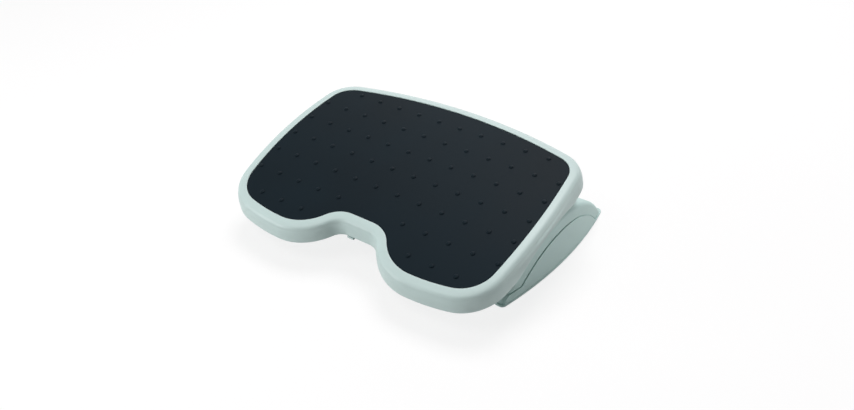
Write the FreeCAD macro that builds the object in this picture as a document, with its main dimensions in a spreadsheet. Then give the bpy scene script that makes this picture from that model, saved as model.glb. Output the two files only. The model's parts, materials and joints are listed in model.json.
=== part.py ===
import FreeCAD, Part
import math
import os
import Sketcher
from FreeCAD import Placement, Rotation, Vector

doc = FreeCAD.newDocument("footrest")
sheet = doc.addObject("Spreadsheet::Sheet", "sizes")

SIZES = {
    # Whole product
    "row_shift": 46.2,
    "rest_tilt": 14.1,
    "tilt_down": 14.1,
    "tilt_up": 7.0,
    # Rocking arc that the platform slides on, its axis below the floor
    "arc_drop": 96.6,
    "arch_radius": 171.0,
    # Platform outline, a chain of tangent arcs from the toe notch round to the rear
    "mat_height": 219.0,
    "mat_middle": 29.0,
    "notch_depth_line": 95.5,
    "notch_flat": 18.3,
    "notch_radius": 44.0,
    "notch_turn": 53.8,
    "notch_flank": 1.8,
    "lobe_radius": 69.0,
    "front_radius": 295.0,
    "front_turn": 12.1,
    "front_corner_radius": 48.5,
    "side_start_turn": 82.7,
    "side_radius": 754.0,
    "side_end_turn": 97.5,
    "rear_corner_radius": 36.4,
    "rear_start_turn": 165.6,
    # Platform section
    "crown_radius": 1342.0,
    "rim_width": 18.5,
    "rim_proud": 0.7,
    "rim_depth": 26.0,
    "rim_arch_depth": 12.0,
    "rim_arch_radius": 179.0,
    "rim_round": 9.0,
    "rim_wall": 3.0,
    "mat_thick": 3.0,
    "mat_gap": 0.3,
    "deck_thick": 3.0,
    "deck_rib_depth": 12.0,
    "rib_thick": 2.2,
    "lane_half": 17.0,
    # Tread nubs
    "nub_pitch": 37.5,
    "nub_row_pitch": 40.0,
    "nub_foot": 4.2,
    "nub_top": 2.0,
    "nub_rise": 1.7,
    "nub_root": 0.6,
    # Base outline and shell
    "base_half_width": 226.5,
    "base_bulge": 692.0,
    "base_bulge_middle": 17.4,
    "base_draft": 6.0,
    "base_edge_round": 7.0,
    "cheek_step": 1.2,
    "hood_wall": 3.0,
    "hood_rib_depth": 16.0,
    "post_radius": 5.5,
    "post_column": 196.0,
    "post_front": -88.0,
    "post_rear": 100.0,
    "cheek_wall": 3.2,
    "fascia_set_back": 26.0,
    "fascia_radius": 780.0,
    "pan_bottom": 1.5,
    "pan_top": 5.0,
    "pan_lip": 2.5,
    "fence_height": 6.0,
    "pan_rib_front": -108.0,
    "pan_rib_length": 234.0,
    "seam_radius": 152.3,
    "seam_gap": 0.5,
    "cover_thick": 2.7,
    "ledge_height": 16.6,
    # Runners, guide slots and bolts
    "runner_place": 115.0,
    "runner_width": 24.0,
    "runner_web": 5.0,
    "runner_foot": 4.5,
    "runner_head": 4.0,
    "runner_front": 24.0,
    "runner_rear": 28.0,
    "glide_thick": 1.5,
    "glide_width": 27.0,
    "glide_front": 45.0,
    "glide_rear": 31.0,
    "running_gap": 0.3,
    "bolt_front": 17.0,
    "bolt_rear": 20.0,
    "bolt_radius": 3.7,
    "bolt_head_radius": 6.4,
    "bolt_head_height": 3.5,
    "bolt_depth": 20.0,
    "slot_radius": 4.3,
    "bush_radius": 8.0,
    "bush_height": 5.0,
    # Brake on the middle of the arc
    "lever_place": 16.0,
    "track_thick": 2.0,
    "track_width": 30.0,
    "track_front": 43.0,
    "track_rear": 2.0,
    "lining_thick": 1.5,
    "shoe_thick": 9.0,
    "shoe_angle": 10.0,
    "shoe_half_span": 7.5,
    "shoe_width": 14.0,
    "lever_reach": 50.0,
    "pin_radius": 2.5,
    "pin_fit": 0.05,
    "rivet_radius": 1.55,
    "rivet_head_radius": 2.8,
    "plate_thick": 1.6,
    "tab_forward": 141.0,
    "tab_height": 185.5,
    "tab_width": 10.0,
    "leaf_thick": 0.8,
    "leaf_width": 10.0,
    "leaf_low": 183.7,
    "leaf_front": -29.0,
    "leaf_rear": -12.0,
    # Feet and screws
    "foot_length": 30.0,
    "foot_width": 18.0,
    "foot_corner": 4.0,
    "foot_height": 3.4,
    "screw_radius": 1.75,
    "screw_head_radius": 3.6,
    "screw_head_height": 2.2,
    "screw_play": 0.1,
    "screw_sink": 1.5,
}


def fill_sheet():
    """Write every driving size to its own row, with its name as the alias."""
    for row, (alias, value) in enumerate(SIZES.items(), start=1):
        sheet.set(f"A{row}", alias.replace("_", " "))
        sheet.set(f"B{row}", str(value))
        sheet.setAlias(f"B{row}", alias)
    doc.recompute()


fill_sheet()


def size(alias):
    """A driving size read back from the sheet."""
    return float(sheet.get(alias))


def bind(item, **expressions):
    """Tie an object's properties to cells of the sheet."""
    for name, text in expressions.items():
        item.setExpression(name, text)
    return item


def put(item, x="0", y="0", z="0", rotation=None):
    """Place an object, its coordinates tied to the sheet."""
    if rotation is not None:
        item.Placement = Placement(Vector(), rotation)
    for axis, text in (("x", x), ("y", y), ("z", z)):
        item.setExpression(f".Placement.Base.{axis}", text)
    return item


ALONG_X = Rotation(Vector(0, 1, 0), 90)


def box(name, x, y, z, length, width, height):
    """A block from its low corner and its three sizes."""
    item = doc.addObject("Part::Box", name)
    bind(item, Length=length, Width=width, Height=height)
    return put(item, x, y, z)


def cylinder_x(name, radius, y="0", z="0", half="300"):
    """A round bar along X, centred on the middle of the product."""
    item = doc.addObject("Part::Cylinder", name)
    bind(item, Radius=radius, Height=f"2 * ({half})")
    return put(item, f"-({half})", y, z, ALONG_X)


def cylinder_z(name, radius, x, y, z, height):
    """An upright round bar."""
    item = doc.addObject("Part::Cylinder", name)
    bind(item, Radius=radius, Height=height)
    return put(item, x, y, z)


def prism_z(name, corners, radius, x, y, z, height):
    """An upright bar with a few flat sides, its radius measured to a corner."""
    item = doc.addObject("Part::Prism", name)
    item.Polygon = corners
    bind(item, Circumradius=radius, Height=height)
    return put(item, x, y, z)


def prism_x(name, corners, radius, y, z, start, length):
    """A flat-sided bar along X, from its left end."""
    item = doc.addObject("Part::Prism", name)
    item.Polygon = corners
    bind(item, Circumradius=radius, Height=length)
    return put(item, start, y, z, ALONG_X)


def level_slice(name, low, high):
    """Everything between two heights."""
    return box(name, "-300", "-300", low, "600", "600", f"({high}) - ({low})")


def cut(name, base, *tools):
    """One body less one or more others."""
    item = doc.addObject("Part::Cut", name)
    item.Base = base
    item.Tool = tools[0] if len(tools) == 1 else fuse(name + "_tools", *tools)
    return item


def fuse(name, *pieces):
    """Several bodies joined into one."""
    item = doc.addObject("Part::MultiFuse", name)
    item.Shapes = list(pieces)
    item.Refine = True
    return item


def common(name, *pieces):
    """What several bodies share."""
    item = doc.addObject("Part::MultiCommon", name)
    item.Shapes = list(pieces)
    return item


def arc_band(name, inner, outer, front, rear, middle, width, z="0"):
    """A curved strip about the arc's axis, from front to rear in degrees off upright."""
    item = doc.addObject("Part::Cylinder", name + "_outer")
    turn = math.radians(rear)
    start = Vector(0, math.sin(turn), math.cos(turn))
    side = Vector(0, -math.cos(turn), math.sin(turn))
    bind(item, Radius=outer, Height=width)
    item.Angle = rear - front
    put(item, f"{middle} - ({width}) / 2", "0", z, Rotation(start, side, Vector(1, 0, 0)))
    core = cylinder_x(name + "_inner", inner, z=z)
    return cut(name, item, core)


def plane(body, role):
    """One of a body's own origin planes."""
    return next(item for item in body.Origin.OriginFeatures if item.Role == role)


def new_sketch(body, name, role, offset=0.0):
    """A sketch on one of the body's own planes, moved along that plane's normal."""
    sketch = body.newObject("Sketcher::SketchObject", name)
    sketch.AttachmentSupport = [(plane(body, role), "")]
    sketch.MapMode = "FlatFace"
    sketch.AttachmentOffset = Placement(Vector(0, 0, offset), Rotation())
    return sketch


def closed_path(sketch, points):
    """A closed run of straight edges, each corner held to the next."""
    count = len(points)
    for index, start in enumerate(points):
        end = points[(index + 1) % count]
        sketch.addGeometry(Part.LineSegment(Vector(*start, 0), Vector(*end, 0)))
    for index in range(count):
        following = (index + 1) % count
        sketch.addConstraint(Sketcher.Constraint("Coincident", index, 2, following, 1))


def turned_body(name, profile):
    """A body turned about Z from a profile of radius and height pairs."""
    body = doc.addObject("PartDesign::Body", name)
    sketch = new_sketch(body, name + "_profile", "XZ_Plane")
    closed_path(sketch, profile)
    turned = body.newObject("PartDesign::Revolution", name + "_turn")
    turned.Profile = sketch
    turned.ReferenceAxis = (sketch, ["V_Axis"])
    turned.Angle = 360
    doc.recompute()
    return body


# Platform outline


class Pen:
    """Draws tangent arcs and lines, keeping its place and heading."""

    def __init__(self, x, y):
        self.x, self.y, self.heading, self.edges = x, y, 0.0, []

    def line(self, length):
        start = Vector(self.x, self.y, 0)
        self.x += length * math.cos(self.heading)
        self.y += length * math.sin(self.heading)
        self.edges.append(Part.LineSegment(start, Vector(self.x, self.y, 0)))

    def arc(self, radius, degrees):
        """Turn left through positive degrees, or right through negative ones."""
        side = 1.0 if degrees > 0 else -1.0
        start = Vector(self.x, self.y, 0)
        middle = self.ahead(radius, math.radians(degrees) / 2, side)
        end = self.ahead(radius, math.radians(degrees), side)
        self.edges.append(Part.Arc(start, middle, end))
        self.x, self.y, self.heading = end.x, end.y, self.heading + math.radians(degrees)

    def ahead(self, radius, turn, side):
        heading = self.heading + turn
        x = self.x + side * radius * (math.sin(heading) - math.sin(self.heading))
        y = self.y - side * radius * (math.cos(heading) - math.cos(self.heading))
        return Vector(x, y, 0)


def outline_edges(offset):
    """Half of the platform's outline, from the notch middle round to the rear middle."""
    pen = Pen(0.0, -size("notch_depth_line") - offset)
    pen.line(size("notch_flat"))
    pen.arc(size("notch_radius") - offset, -size("notch_turn"))
    pen.line(size("notch_flank"))
    pen.arc(size("lobe_radius") + offset, size("notch_turn"))
    pen.arc(size("front_radius") + offset, size("front_turn"))
    pen.arc(size("front_corner_radius") + offset, size("side_start_turn") - size("front_turn"))
    pen.arc(size("side_radius") + offset, size("side_end_turn") - size("side_start_turn"))
    rear_corner_turn = size("rear_start_turn") - size("side_end_turn")
    pen.arc(size("rear_corner_radius") + offset, rear_corner_turn)
    rest_of_turn = 180.0 - size("rear_start_turn")
    pen.arc(pen.x / math.sin(math.radians(rest_of_turn)), rest_of_turn)
    return pen.edges


def mirrored(edge):
    """The same edge on the left side, drawn the other way."""
    shape = edge.toShape().mirror(Vector(), Vector(1, 0, 0))
    ends = [vertex.Point for vertex in shape.Vertexes]
    if isinstance(edge, Part.LineSegment):
        return Part.LineSegment(ends[0], ends[-1])
    middle = shape.valueAt((shape.FirstParameter + shape.LastParameter) / 2)
    return Part.Arc(ends[0], middle, ends[-1])


def outline_block(name, offset):
    """The platform's outline, grown by an offset, as a tall upright block."""
    sketch = doc.addObject("Sketcher::SketchObject", name + "_outline")
    half = outline_edges(offset)
    sketch.addGeometry(half + [mirrored(edge) for edge in half])
    block = doc.addObject("Part::Extrusion", name)
    block.Base = sketch
    block.DirMode = "Custom"
    block.Dir = Vector(0, 0, 1)
    block.Solid = True
    bind(block, LengthFwd="110")
    return put(block, "0", "-sizes.mat_middle", "150")


def crown_bar(name, above):
    """The long fore-and-aft crown of the platform, raised or lowered by an amount."""
    centre = "sizes.mat_height - sizes.crown_radius"
    return cylinder_x(name, f"sizes.crown_radius + ({above})", "-sizes.mat_middle", centre)


def crown_drop(y):
    """How far the crown falls below its middle at a distance in front or behind."""
    radius = size("crown_radius")
    return radius - math.sqrt(radius**2 - y**2)


def crown_wire(offset, above, flat_height=None):
    """The outline grown by an offset and laid on the crown, or on a level plane."""
    half = outline_edges(offset)
    edges = []
    for edge in half + [mirrored(piece) for piece in reversed(half)]:
        curve = edge.toShape()
        steps = 1 if isinstance(edge, Part.LineSegment) else 4
        span = curve.LastParameter - curve.FirstParameter
        points = []
        for step in range(steps + 1):
            point = curve.valueAt(curve.FirstParameter + span * step / steps)
            height = size("mat_height") + above - crown_drop(point.y) if flat_height is None else flat_height
            points.append(Vector(point.x, point.y - size("mat_middle"), height))
        spline = Part.BSplineCurve()
        spline.interpolate(points)
        edges.append(spline.toShape())
    return Part.Wire(Part.__sortEdges__(edges))


def rim_block(name):
    """The platform's outer form: upright walls that roll over into the crown in four facets."""
    width, soft, proud = size("rim_width"), size("rim_round"), size("rim_proud")
    wires = [crown_wire(width, 0.0, flat_height=150.0)]
    for degrees in (0.0, 22.5, 45.0, 67.5):
        turn = math.radians(degrees)
        wires.append(crown_wire(width - soft * (1 - math.cos(turn)), proud - soft * (1 - math.sin(turn))))
    last = math.radians(67.5)
    inset, fall = soft * (1 - math.cos(last)), soft * (1 - math.sin(last))
    wires.append(crown_wire(width - inset - 2 * (soft - inset), proud + fall))
    wires.append(crown_wire(width - inset - 2 * (soft - inset), 0.0, flat_height=240.0))
    block = doc.addObject("Part::Feature", name)
    block.Shape = Part.makeLoft(wires, True, True)
    return block


# Tray shell: a crowned, open-bottomed moulding with a rolled rim


DECK_UNDER = "-sizes.mat_thick - sizes.deck_thick"
DECK_LONG_RIBS = (-190, -158, -72, 72, 158, 190)
DECK_CROSS_RIBS = (-92, -35, 40, 112)


def rib_grid(name, columns, rows, z):
    """Tall thin walls fore and aft at each column, and across at each row."""
    bars = []
    for index, x in enumerate(columns):
        place = f"{x} - sizes.rib_thick / 2"
        bars.append(box(f"{name}_long_{index}", place, "-300", z, "sizes.rib_thick", "600", "90"))
    for index, y in enumerate(rows):
        place = f"{y} - sizes.rib_thick / 2"
        bars.append(box(f"{name}_cross_{index}", "-300", place, z, "600", "sizes.rib_thick", "90"))
    return fuse(name, *bars)


def rim_arch(name):
    """The shallow arch that lifts the rim's lower edge over the base at each side."""
    centre = "sizes.mat_height - sizes.rim_arch_depth - sizes.rim_arch_radius"
    return cylinder_x(name, "sizes.rim_arch_radius", "-sizes.mat_middle", centre)


def deck_ribs():
    """Crossed stiffening ribs under the deck, kept clear of the runners and the bracket."""
    grid = rib_grid("deck_grid", DECK_LONG_RIBS, DECK_CROSS_RIBS, "150")
    band = cut(
        "rib_band",
        common("rib_room", outline_block("rib_block", size("rim_width") - size("rim_wall") + 0.5),
               crown_bar("rib_top", DECK_UNDER + " + 0.5")),
        crown_bar("rib_bottom", DECK_UNDER + " - sizes.deck_rib_depth"),
    )
    ribs = common("rib_net", grid, band)
    lanes = [box(f"runner_lane_{side + 1}", f"{side} * sizes.runner_place - sizes.lane_half", "-130", "150",
                 "2 * sizes.lane_half", "260", "90") for side in (-1, 1)]
    lane = box("lever_lane", "-sizes.lever_place - sizes.lane_half", "-150", "150", "2 * sizes.lane_half",
               "150", "90")
    return cut("deck_ribs", ribs, *lanes, lane)


def make_tray_shell():
    rounded = common("rim_rounded", rim_block("rim_block"), crown_bar("rim_crown", "sizes.rim_proud"))
    skirt = crown_bar("rim_underside", "-sizes.rim_depth")
    hollow = common("tray_hollow", outline_block("hollow_block", size("rim_width") - size("rim_wall")),
                    crown_bar("deck_under", DECK_UNDER))
    recess = cut("mat_recess", outline_block("recess_block", size("mat_gap")),
                 crown_bar("recess_floor", "-sizes.mat_thick"))
    casting = cut("tray_casting", rounded, skirt, hollow, recess)
    seats = []
    for index, (x, y, z) in enumerate(runner_screw_places()):
        seats.append(prism_z(f"deck_hole_{index}", 8, "sizes.screw_radius + sizes.screw_play",
                             f"{x}", f"{y}", f"{z} - 8", "20"))
        seats.append(prism_z(f"deck_sink_{index}", 12, "sizes.screw_head_radius + 4 * sizes.screw_play",
                             f"{x}", f"{y}", f"{z}", "10"))
    return cut("tray_shell", fuse("tray_ribbed", casting, deck_ribs()), rim_arch("rim_arch"), *seats)


RUNNER_SCREW_ROWS = (-86.0, -42.0, 26.0, 72.0)


def runner_screw_places():
    """Four screws down each runner's web; the height is under the sunk head."""
    seat_height = size("mat_height") - size("mat_thick") - size("screw_head_height") - 0.3
    places = []
    for x in (-size("runner_place"), size("runner_place")):
        for y in RUNNER_SCREW_ROWS:
            places.append((x, y, seat_height - crown_drop(y + size("mat_middle"))))
    return places


# Tread mat: one rubber sheet with rows of low nubs


def nub_places():
    """Nub centres as column and row numbers: 7 rows, short ones at the rear and the notch."""
    rows = {3: range(1, 11), 2: range(12), 1: range(12), 0: range(12), -1: range(12)}
    rows[-2] = [0, 1, 2, 3, 4, 7, 8, 9, 10, 11]
    rows[-3] = [1, 2, 3, 8, 9, 10]
    return [(column - 5.5, row) for row, columns in rows.items() for column in columns]


def nub_at(foot, sunk):
    """One low flat-sided nub, wider at its foot."""
    sides = 6
    rings = []
    for radius, height in ((size("nub_foot"), 0.0), (size("nub_top"), size("nub_rise") + sunk)):
        corners = []
        for corner in range(sides + 1):
            turn = 2 * math.pi * corner / sides
            corners.append(foot + Vector(radius * math.cos(turn), radius * math.sin(turn), height))
        rings.append(Part.makePolygon(corners))
    return Part.makeLoft(rings, True, True)


def make_tread_mat():
    sheet_block = cut("mat_sheet",
                      common("mat_crowned", outline_block("mat_block", 0.0), crown_bar("mat_top", "0")),
                      crown_bar("mat_under", "-sizes.mat_thick"))
    nubs = []
    sunk = size("nub_root")
    for column, row in nub_places():
        x, y = column * size("nub_pitch"), row * size("nub_row_pitch")
        foot = Vector(x, y - size("mat_middle"), size("mat_height") - crown_drop(y) - sunk)
        nubs.append(nub_at(foot, sunk))
    doc.recompute()
    mat = doc.addObject("Part::Feature", "tread_mat")
    mat.Shape = sheet_block.Shape.fuse(nubs)
    return mat


# Base: the space that hood and covers fill together


def cheek_bars(name, inset):
    """Two leaning, bulged side faces as crossing cones, drawn in by an amount."""
    bars = []
    tall = 90.0
    for side in (-1, 1):
        cone = doc.addObject("Part::Cone", f"{name}_{'left' if side < 0 else 'right'}")
        foot = f"sizes.base_bulge - ({inset})"
        bind(cone, Radius1=foot, Radius2=f"{foot} - {tall} * tan(sizes.base_draft)", Height=f"{tall}")
        put(cone, f"{side} * (sizes.base_half_width - sizes.base_bulge)", "sizes.base_bulge_middle", "0")
        bars.append(cone)
    return bars


def arch_bar(name, inset):
    return cylinder_x(name, f"sizes.arch_radius - ({inset})", z="-sizes.arc_drop")


def cheek_reach(y, z, inset):
    """How far out a cheek's face stands at a place."""
    radius = size("base_bulge") - inset - z * math.tan(math.radians(size("base_draft")))
    across = y - size("base_bulge_middle")
    return size("base_half_width") - size("base_bulge") + math.sqrt(radius**2 - across**2)


def base_form(name, inset):
    """The arched form between its two bulged cheeks, sharp-edged and open below."""
    form = common(name + "_sharp", *cheek_bars(name + "_cheek", inset), arch_bar(name + "_arch", "0"))
    return cut(name, form, level_slice(name + "_below", "-300", "0"))


def edge_rounder(name, side, inset):
    """What the rounding takes off the long edge over one cheek: corner sections about the arc's axis."""
    top, soft, facets = size("arch_radius"), size("base_edge_round"), 4
    sections = []
    for degrees in range(-60, 61, 6):
        turn = math.radians(degrees)

        def place(x, radius):
            return Vector(side * x, radius * math.sin(turn), radius * math.cos(turn) - size("arc_drop"))

        def reach(radius):
            point = place(0.0, radius)
            return cheek_reach(point.y, point.z, inset)

        lean = math.atan2(reach(top - soft) - reach(top), soft)
        middle = reach(top - soft) - soft / math.cos(lean)
        corner = []
        for facet in range(facets + 1):
            angle = math.pi / 2 + (lean - math.pi / 2) * facet / facets
            corner.append(place(middle + soft * math.cos(angle), top - soft + soft * math.sin(angle)))
        outside = middle + 3 * soft
        corner += [place(outside, top - soft + soft * math.sin(lean)), place(outside, top + soft),
                   place(middle, top + soft)]
        sections.append(Part.makePolygon(corner + corner[:1]))
    item = doc.addObject("Part::Feature", name)
    item.Shape = Part.makeLoft(sections, True, True)
    return item


def fascia_bar(name, deeper):
    """The bowed bite that sets the front of the base back between its cheeks."""
    radius = size("fascia_radius")
    floor_front = math.sqrt(size("arch_radius") ** 2 - size("arc_drop") ** 2)
    centre = size("fascia_set_back") - floor_front - radius
    return cylinder_z(name, f"sizes.fascia_radius + ({deeper})", "0", f"{centre}", "-1", "100")


def cover_profile(name, gap):
    """The D-shaped side panel with its toe, drawn in by a gap, as a bar along X."""
    seam = size("seam_radius") - gap
    drop = size("arc_drop")
    ledge = size("ledge_height") - gap
    low = size("pan_top") + 0.2
    arc_start = Vector(0, -math.sqrt(seam**2 - (ledge + drop) ** 2), ledge)
    arc_end = Vector(0, math.sqrt(seam**2 - (low + drop) ** 2), low)
    arc_top = Vector(0, 0, seam - drop)
    toe = Vector(0, -160.0, ledge)
    toe_low = Vector(0, -160.0, low)
    edges = [
        Part.makeLine(toe_low, toe),
        Part.makeLine(toe, arc_start),
        Part.Arc(arc_start, arc_top, arc_end).toShape(),
        Part.makeLine(arc_end, toe_low),
    ]
    item = doc.addObject("Part::Feature", name)
    face = Part.Face(Part.Wire(edges))
    item.Shape = face.extrude(Vector(600, 0, 0)).translated(Vector(-300, 0, 0))
    return item


def right_half(name, side):
    start = "0" if side > 0 else "-300"
    return box(name, start, "-300", "-10", "300", "600", "200")


def make_side_covers():
    skin = cut("cover_skin", base_form("cover_form", "0"), common("cover_inside", *cheek_bars(
        "cover_inside", "sizes.cover_thick")))
    both = common("both_covers", skin, cover_profile("cover_shape", size("seam_gap")))
    trimmed = cut("both_covers_trimmed", both, fascia_bar("cover_front_bite", "0"))
    covers = []
    for side, name in ((-1, "left_side_cover"), (1, "right_side_cover")):
        covers.append(common(name, trimmed, right_half(name + "_half", side)))
    return covers


HOOD_RIBS = (-185, -70, 70, 185)


def hood_ribs():
    """Upright ribs that tie the arch to the front and rear of the hood."""
    grid = rib_grid("hood_rib_bars", HOOD_RIBS, (), "sizes.pan_top + sizes.fence_height + 0.6")
    below = prism_x("hood_rib_hollow", 20, "sizes.arch_radius - sizes.hood_rib_depth", "0",
                    "-sizes.arc_drop", "-300", "600")
    room = cut("hood_rib_room", common("hood_rib_arch", *cheek_bars("hood_rib_cheek", "4"),
                                       arch_bar("hood_rib_limit", "1")),
               below, fascia_bar("hood_rib_bite", "1"))
    return common("hood_ribs", grid, room)


def hood_post_places():
    return [(x, y) for x in (-size("post_column"), 0.0, size("post_column"))
            for y in (size("post_front"), size("post_rear"))]


def hood_posts():
    """Hexagonal screw posts that stand on the pan."""
    posts = []
    for index, (x, y) in enumerate(hood_post_places()):
        posts.append(prism_z(f"hood_post_{index}", 6, "sizes.post_radius", f"{x}", f"{y}", "sizes.pan_top",
                             "80"))
    return common("hood_posts", fuse("hood_post_bars", *posts), arch_bar("hood_post_limit", "1"))


def slot_bars(prefix, radius, length_in, length_out):
    """Curved slots: a band between two round ends, for each side and each guide bolt."""
    pieces = []
    for side in (-1, 1):
        place = f"{side} * sizes.runner_place"
        for end, angle in (("front", -size("bolt_front")), ("rear", size("bolt_rear"))):
            tilt = size("rest_tilt")
            spare = 0.4
            low = angle - tilt - size("tilt_up") - spare
            high = angle - tilt + size("tilt_down") + spare
            name = f"{prefix}_{side + 1}_{end}"
            pieces.append(arc_band(name, length_in, length_out, low, high, place, f"2 * {radius}",
                                   z="-sizes.arc_drop"))
            for stop, turn in (("low", low), ("high", high)):
                bar = doc.addObject("Part::Prism", f"{name}_{stop}")
                bar.Polygon = 12
                bind(bar, Circumradius=radius, Height=f"({length_out}) - ({length_in})")
                out = Rotation(Vector(1, 0, 0), -turn)
                sine, cosine = math.sin(math.radians(turn)), math.cos(math.radians(turn))
                put(bar, place, f"({length_in}) * {sine}", f"({length_in}) * {cosine} - sizes.arc_drop", out)
                pieces.append(bar)
    return fuse(prefix, *pieces)


def make_base_hood():
    form = base_form("hood_form", "sizes.cheek_step")
    seated = cut("hood_seated", form, level_slice("hood_foot_cut", "-10", "sizes.pan_top"))
    bitten = cut("hood_bitten", seated, fascia_bar("hood_bite", "0"))
    inner_cheeks = cheek_bars("hood_hollow_cheek", "sizes.cheek_step + sizes.cheek_wall + sizes.cover_thick")
    hollow = cut("hood_hollow",
                 common("hood_hollow_arch", *inner_cheeks, arch_bar("hood_hollow_top", "sizes.hood_wall")),
                 fascia_bar("hood_fascia_wall", "sizes.hood_wall"))
    shell = cut("hood_shell", bitten, hollow)
    recess = cut("cover_recess", cover_profile("recess_shape", 0.0), common("recess_inside", *cheek_bars(
        "recess_inside", "sizes.cover_thick + 0.1")))
    recessed = cut("hood_recessed", shell, recess)
    whole = fuse("hood_whole", recessed, hood_ribs(), hood_posts())
    slots = slot_bars("hood_slot", "sizes.slot_radius", "sizes.arch_radius - 8", "sizes.arch_radius + 8")
    pilots = []
    for index, (x, y) in enumerate(hood_post_places()):
        pilots.append(prism_z(f"hood_pilot_{index}", 8, "sizes.screw_radius + sizes.pin_fit", f"{x}", f"{y}",
                              "sizes.pan_top - 1", "16"))
    rounders = [edge_rounder(f"hood_rounder_{side + 1}", side, size("cheek_step")) for side in (-1, 1)]
    return cut("base_hood", whole, slots, *pilots, *rounders)


# Base pan: the floor plate with its lip, ribs, foot recesses and screw holes


def foot_places():
    return [
        ("front_left_foot", -192, -112),
        ("front_right_foot", 192, -112),
        ("rear_left_foot", -185, 118),
        ("rear_right_foot", 185, 118),
    ]


PAN_RIBS = (-150, -75, 0, 75, 150)


def make_base_pan():
    floor_front = math.sqrt(size("arch_radius") ** 2 - size("arc_drop") ** 2)
    plate = common("pan_plate_sharp", *cheek_bars("pan_cheek", "-0.2"),
                   box("pan_box", "-300", f"{-floor_front}", "sizes.pan_bottom", "600",
                       f"{2 * floor_front} + sizes.pan_lip", "sizes.pan_top - sizes.pan_bottom"))
    doc.recompute()
    corners = []
    for index, edge in enumerate(plate.Shape.Edges, start=1):
        upright = edge.BoundBox.ZLength > 1 and edge.BoundBox.YLength < 1
        if upright:
            corners.append(index)
    rounded = doc.addObject("Part::Fillet", "pan_plate")
    rounded.Base = plate
    rounded.Edges = [(index, size("base_edge_round"), size("base_edge_round")) for index in corners]
    bitten = cut("pan_bitten", rounded, fascia_bar("pan_bite", "0"))
    fence_out = cut("pan_fence_out", common("pan_fence_cheeks", *cheek_bars("pan_fence_cheek", "8.2"),
                                            arch_bar("pan_fence_arch", "4")),
                    fascia_bar("pan_fence_bite", "4"))
    fence_in = cut("pan_fence_in", common("pan_fence_inner", *cheek_bars("pan_fence_inner_cheek", "10.4"),
                                          arch_bar("pan_fence_inner_arch", "7")),
                   fascia_bar("pan_fence_inner_bite", "6.4"))
    ring = cut("pan_fence_ring", fence_out, fence_in)
    fence = common("pan_fence", ring, level_slice("pan_fence_slice", "sizes.pan_top - 0.5",
                                                  "sizes.pan_top + sizes.fence_height"))
    holes = []
    for index, (x, y) in enumerate(hood_post_places()):
        holes.append(prism_z(f"pan_hole_{index}", 8, "sizes.screw_radius + sizes.screw_play", f"{x}", f"{y}",
                             "0", "20"))
        holes.append(prism_z(f"pan_sink_{index}", 12, "sizes.screw_head_radius + 4 * sizes.screw_play",
                             f"{x}", f"{y}", "0", "sizes.pan_bottom + sizes.screw_sink"))
    for name, x, y in foot_places():
        holes.append(foot_block(name + "_seat", x, y, 0.2))
    posts = []
    for index, (x, y) in enumerate(hood_post_places()):
        posts.append(prism_z(f"pan_post_clear_{index}", 6, "sizes.post_radius + 0.5", f"{x}", f"{y}",
                             "sizes.pan_top", "20"))
    rib_room = box("pan_rib_room", "-200", "sizes.pan_rib_front", "sizes.pan_top - 0.5", "400",
                   "sizes.pan_rib_length", "8")
    ribs = common("pan_ribs", rib_grid("pan_rib_bars", PAN_RIBS, (), "0"), rib_room)
    walls = cut("pan_walls", fuse("pan_wall_bars", fence, ribs), *posts)
    whole = fuse("pan_whole", bitten, walls)
    return cut("base_pan", whole, *holes)


def foot_profile(spare):
    """A die-cut rubber pad seen from above: a rectangle with its corners cut off."""
    half_long, half_wide = size("foot_length") / 2 + spare, size("foot_width") / 2 + spare
    corner = size("foot_corner")
    return [(-half_long + corner, -half_wide), (half_long - corner, -half_wide),
            (half_long, -half_wide + corner), (half_long, half_wide - corner),
            (half_long - corner, half_wide), (-half_long + corner, half_wide),
            (-half_long, half_wide - corner), (-half_long, -half_wide + corner)]


def foot_block(name, x, y, spare):
    """A pad, or with some spare the seat it is pressed into."""
    body = doc.addObject("PartDesign::Body", name)
    sketch = new_sketch(body, name + "_outline", "XY_Plane")
    closed_path(sketch, foot_profile(spare))
    pad = body.newObject("PartDesign::Pad", name + "_pad")
    pad.Profile = sketch
    pad.setExpression("Length", "sizes.foot_height")
    doc.recompute()
    return put(body, f"{x}", f"{y}")


def make_feet():
    return [foot_block(name, x, y, 0.0) for name, x, y in foot_places()]


# Slide and brake surfaces on top of the hood


def make_glide_strips():
    strips = []
    slots = slot_bars("glide_slot", "sizes.slot_radius", "sizes.arch_radius - 8", "sizes.arch_radius + 8")
    for side, name in ((-1, "left_glide_strip"), (1, "right_glide_strip")):
        band = arc_band(name + "_band", "sizes.arch_radius", "sizes.arch_radius + sizes.glide_thick",
                        -size("glide_front"), size("glide_rear"), f"{side} * sizes.runner_place",
                        "sizes.glide_width", z="-sizes.arc_drop")
        strips.append(cut(name, band, slots))
    return strips


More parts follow.
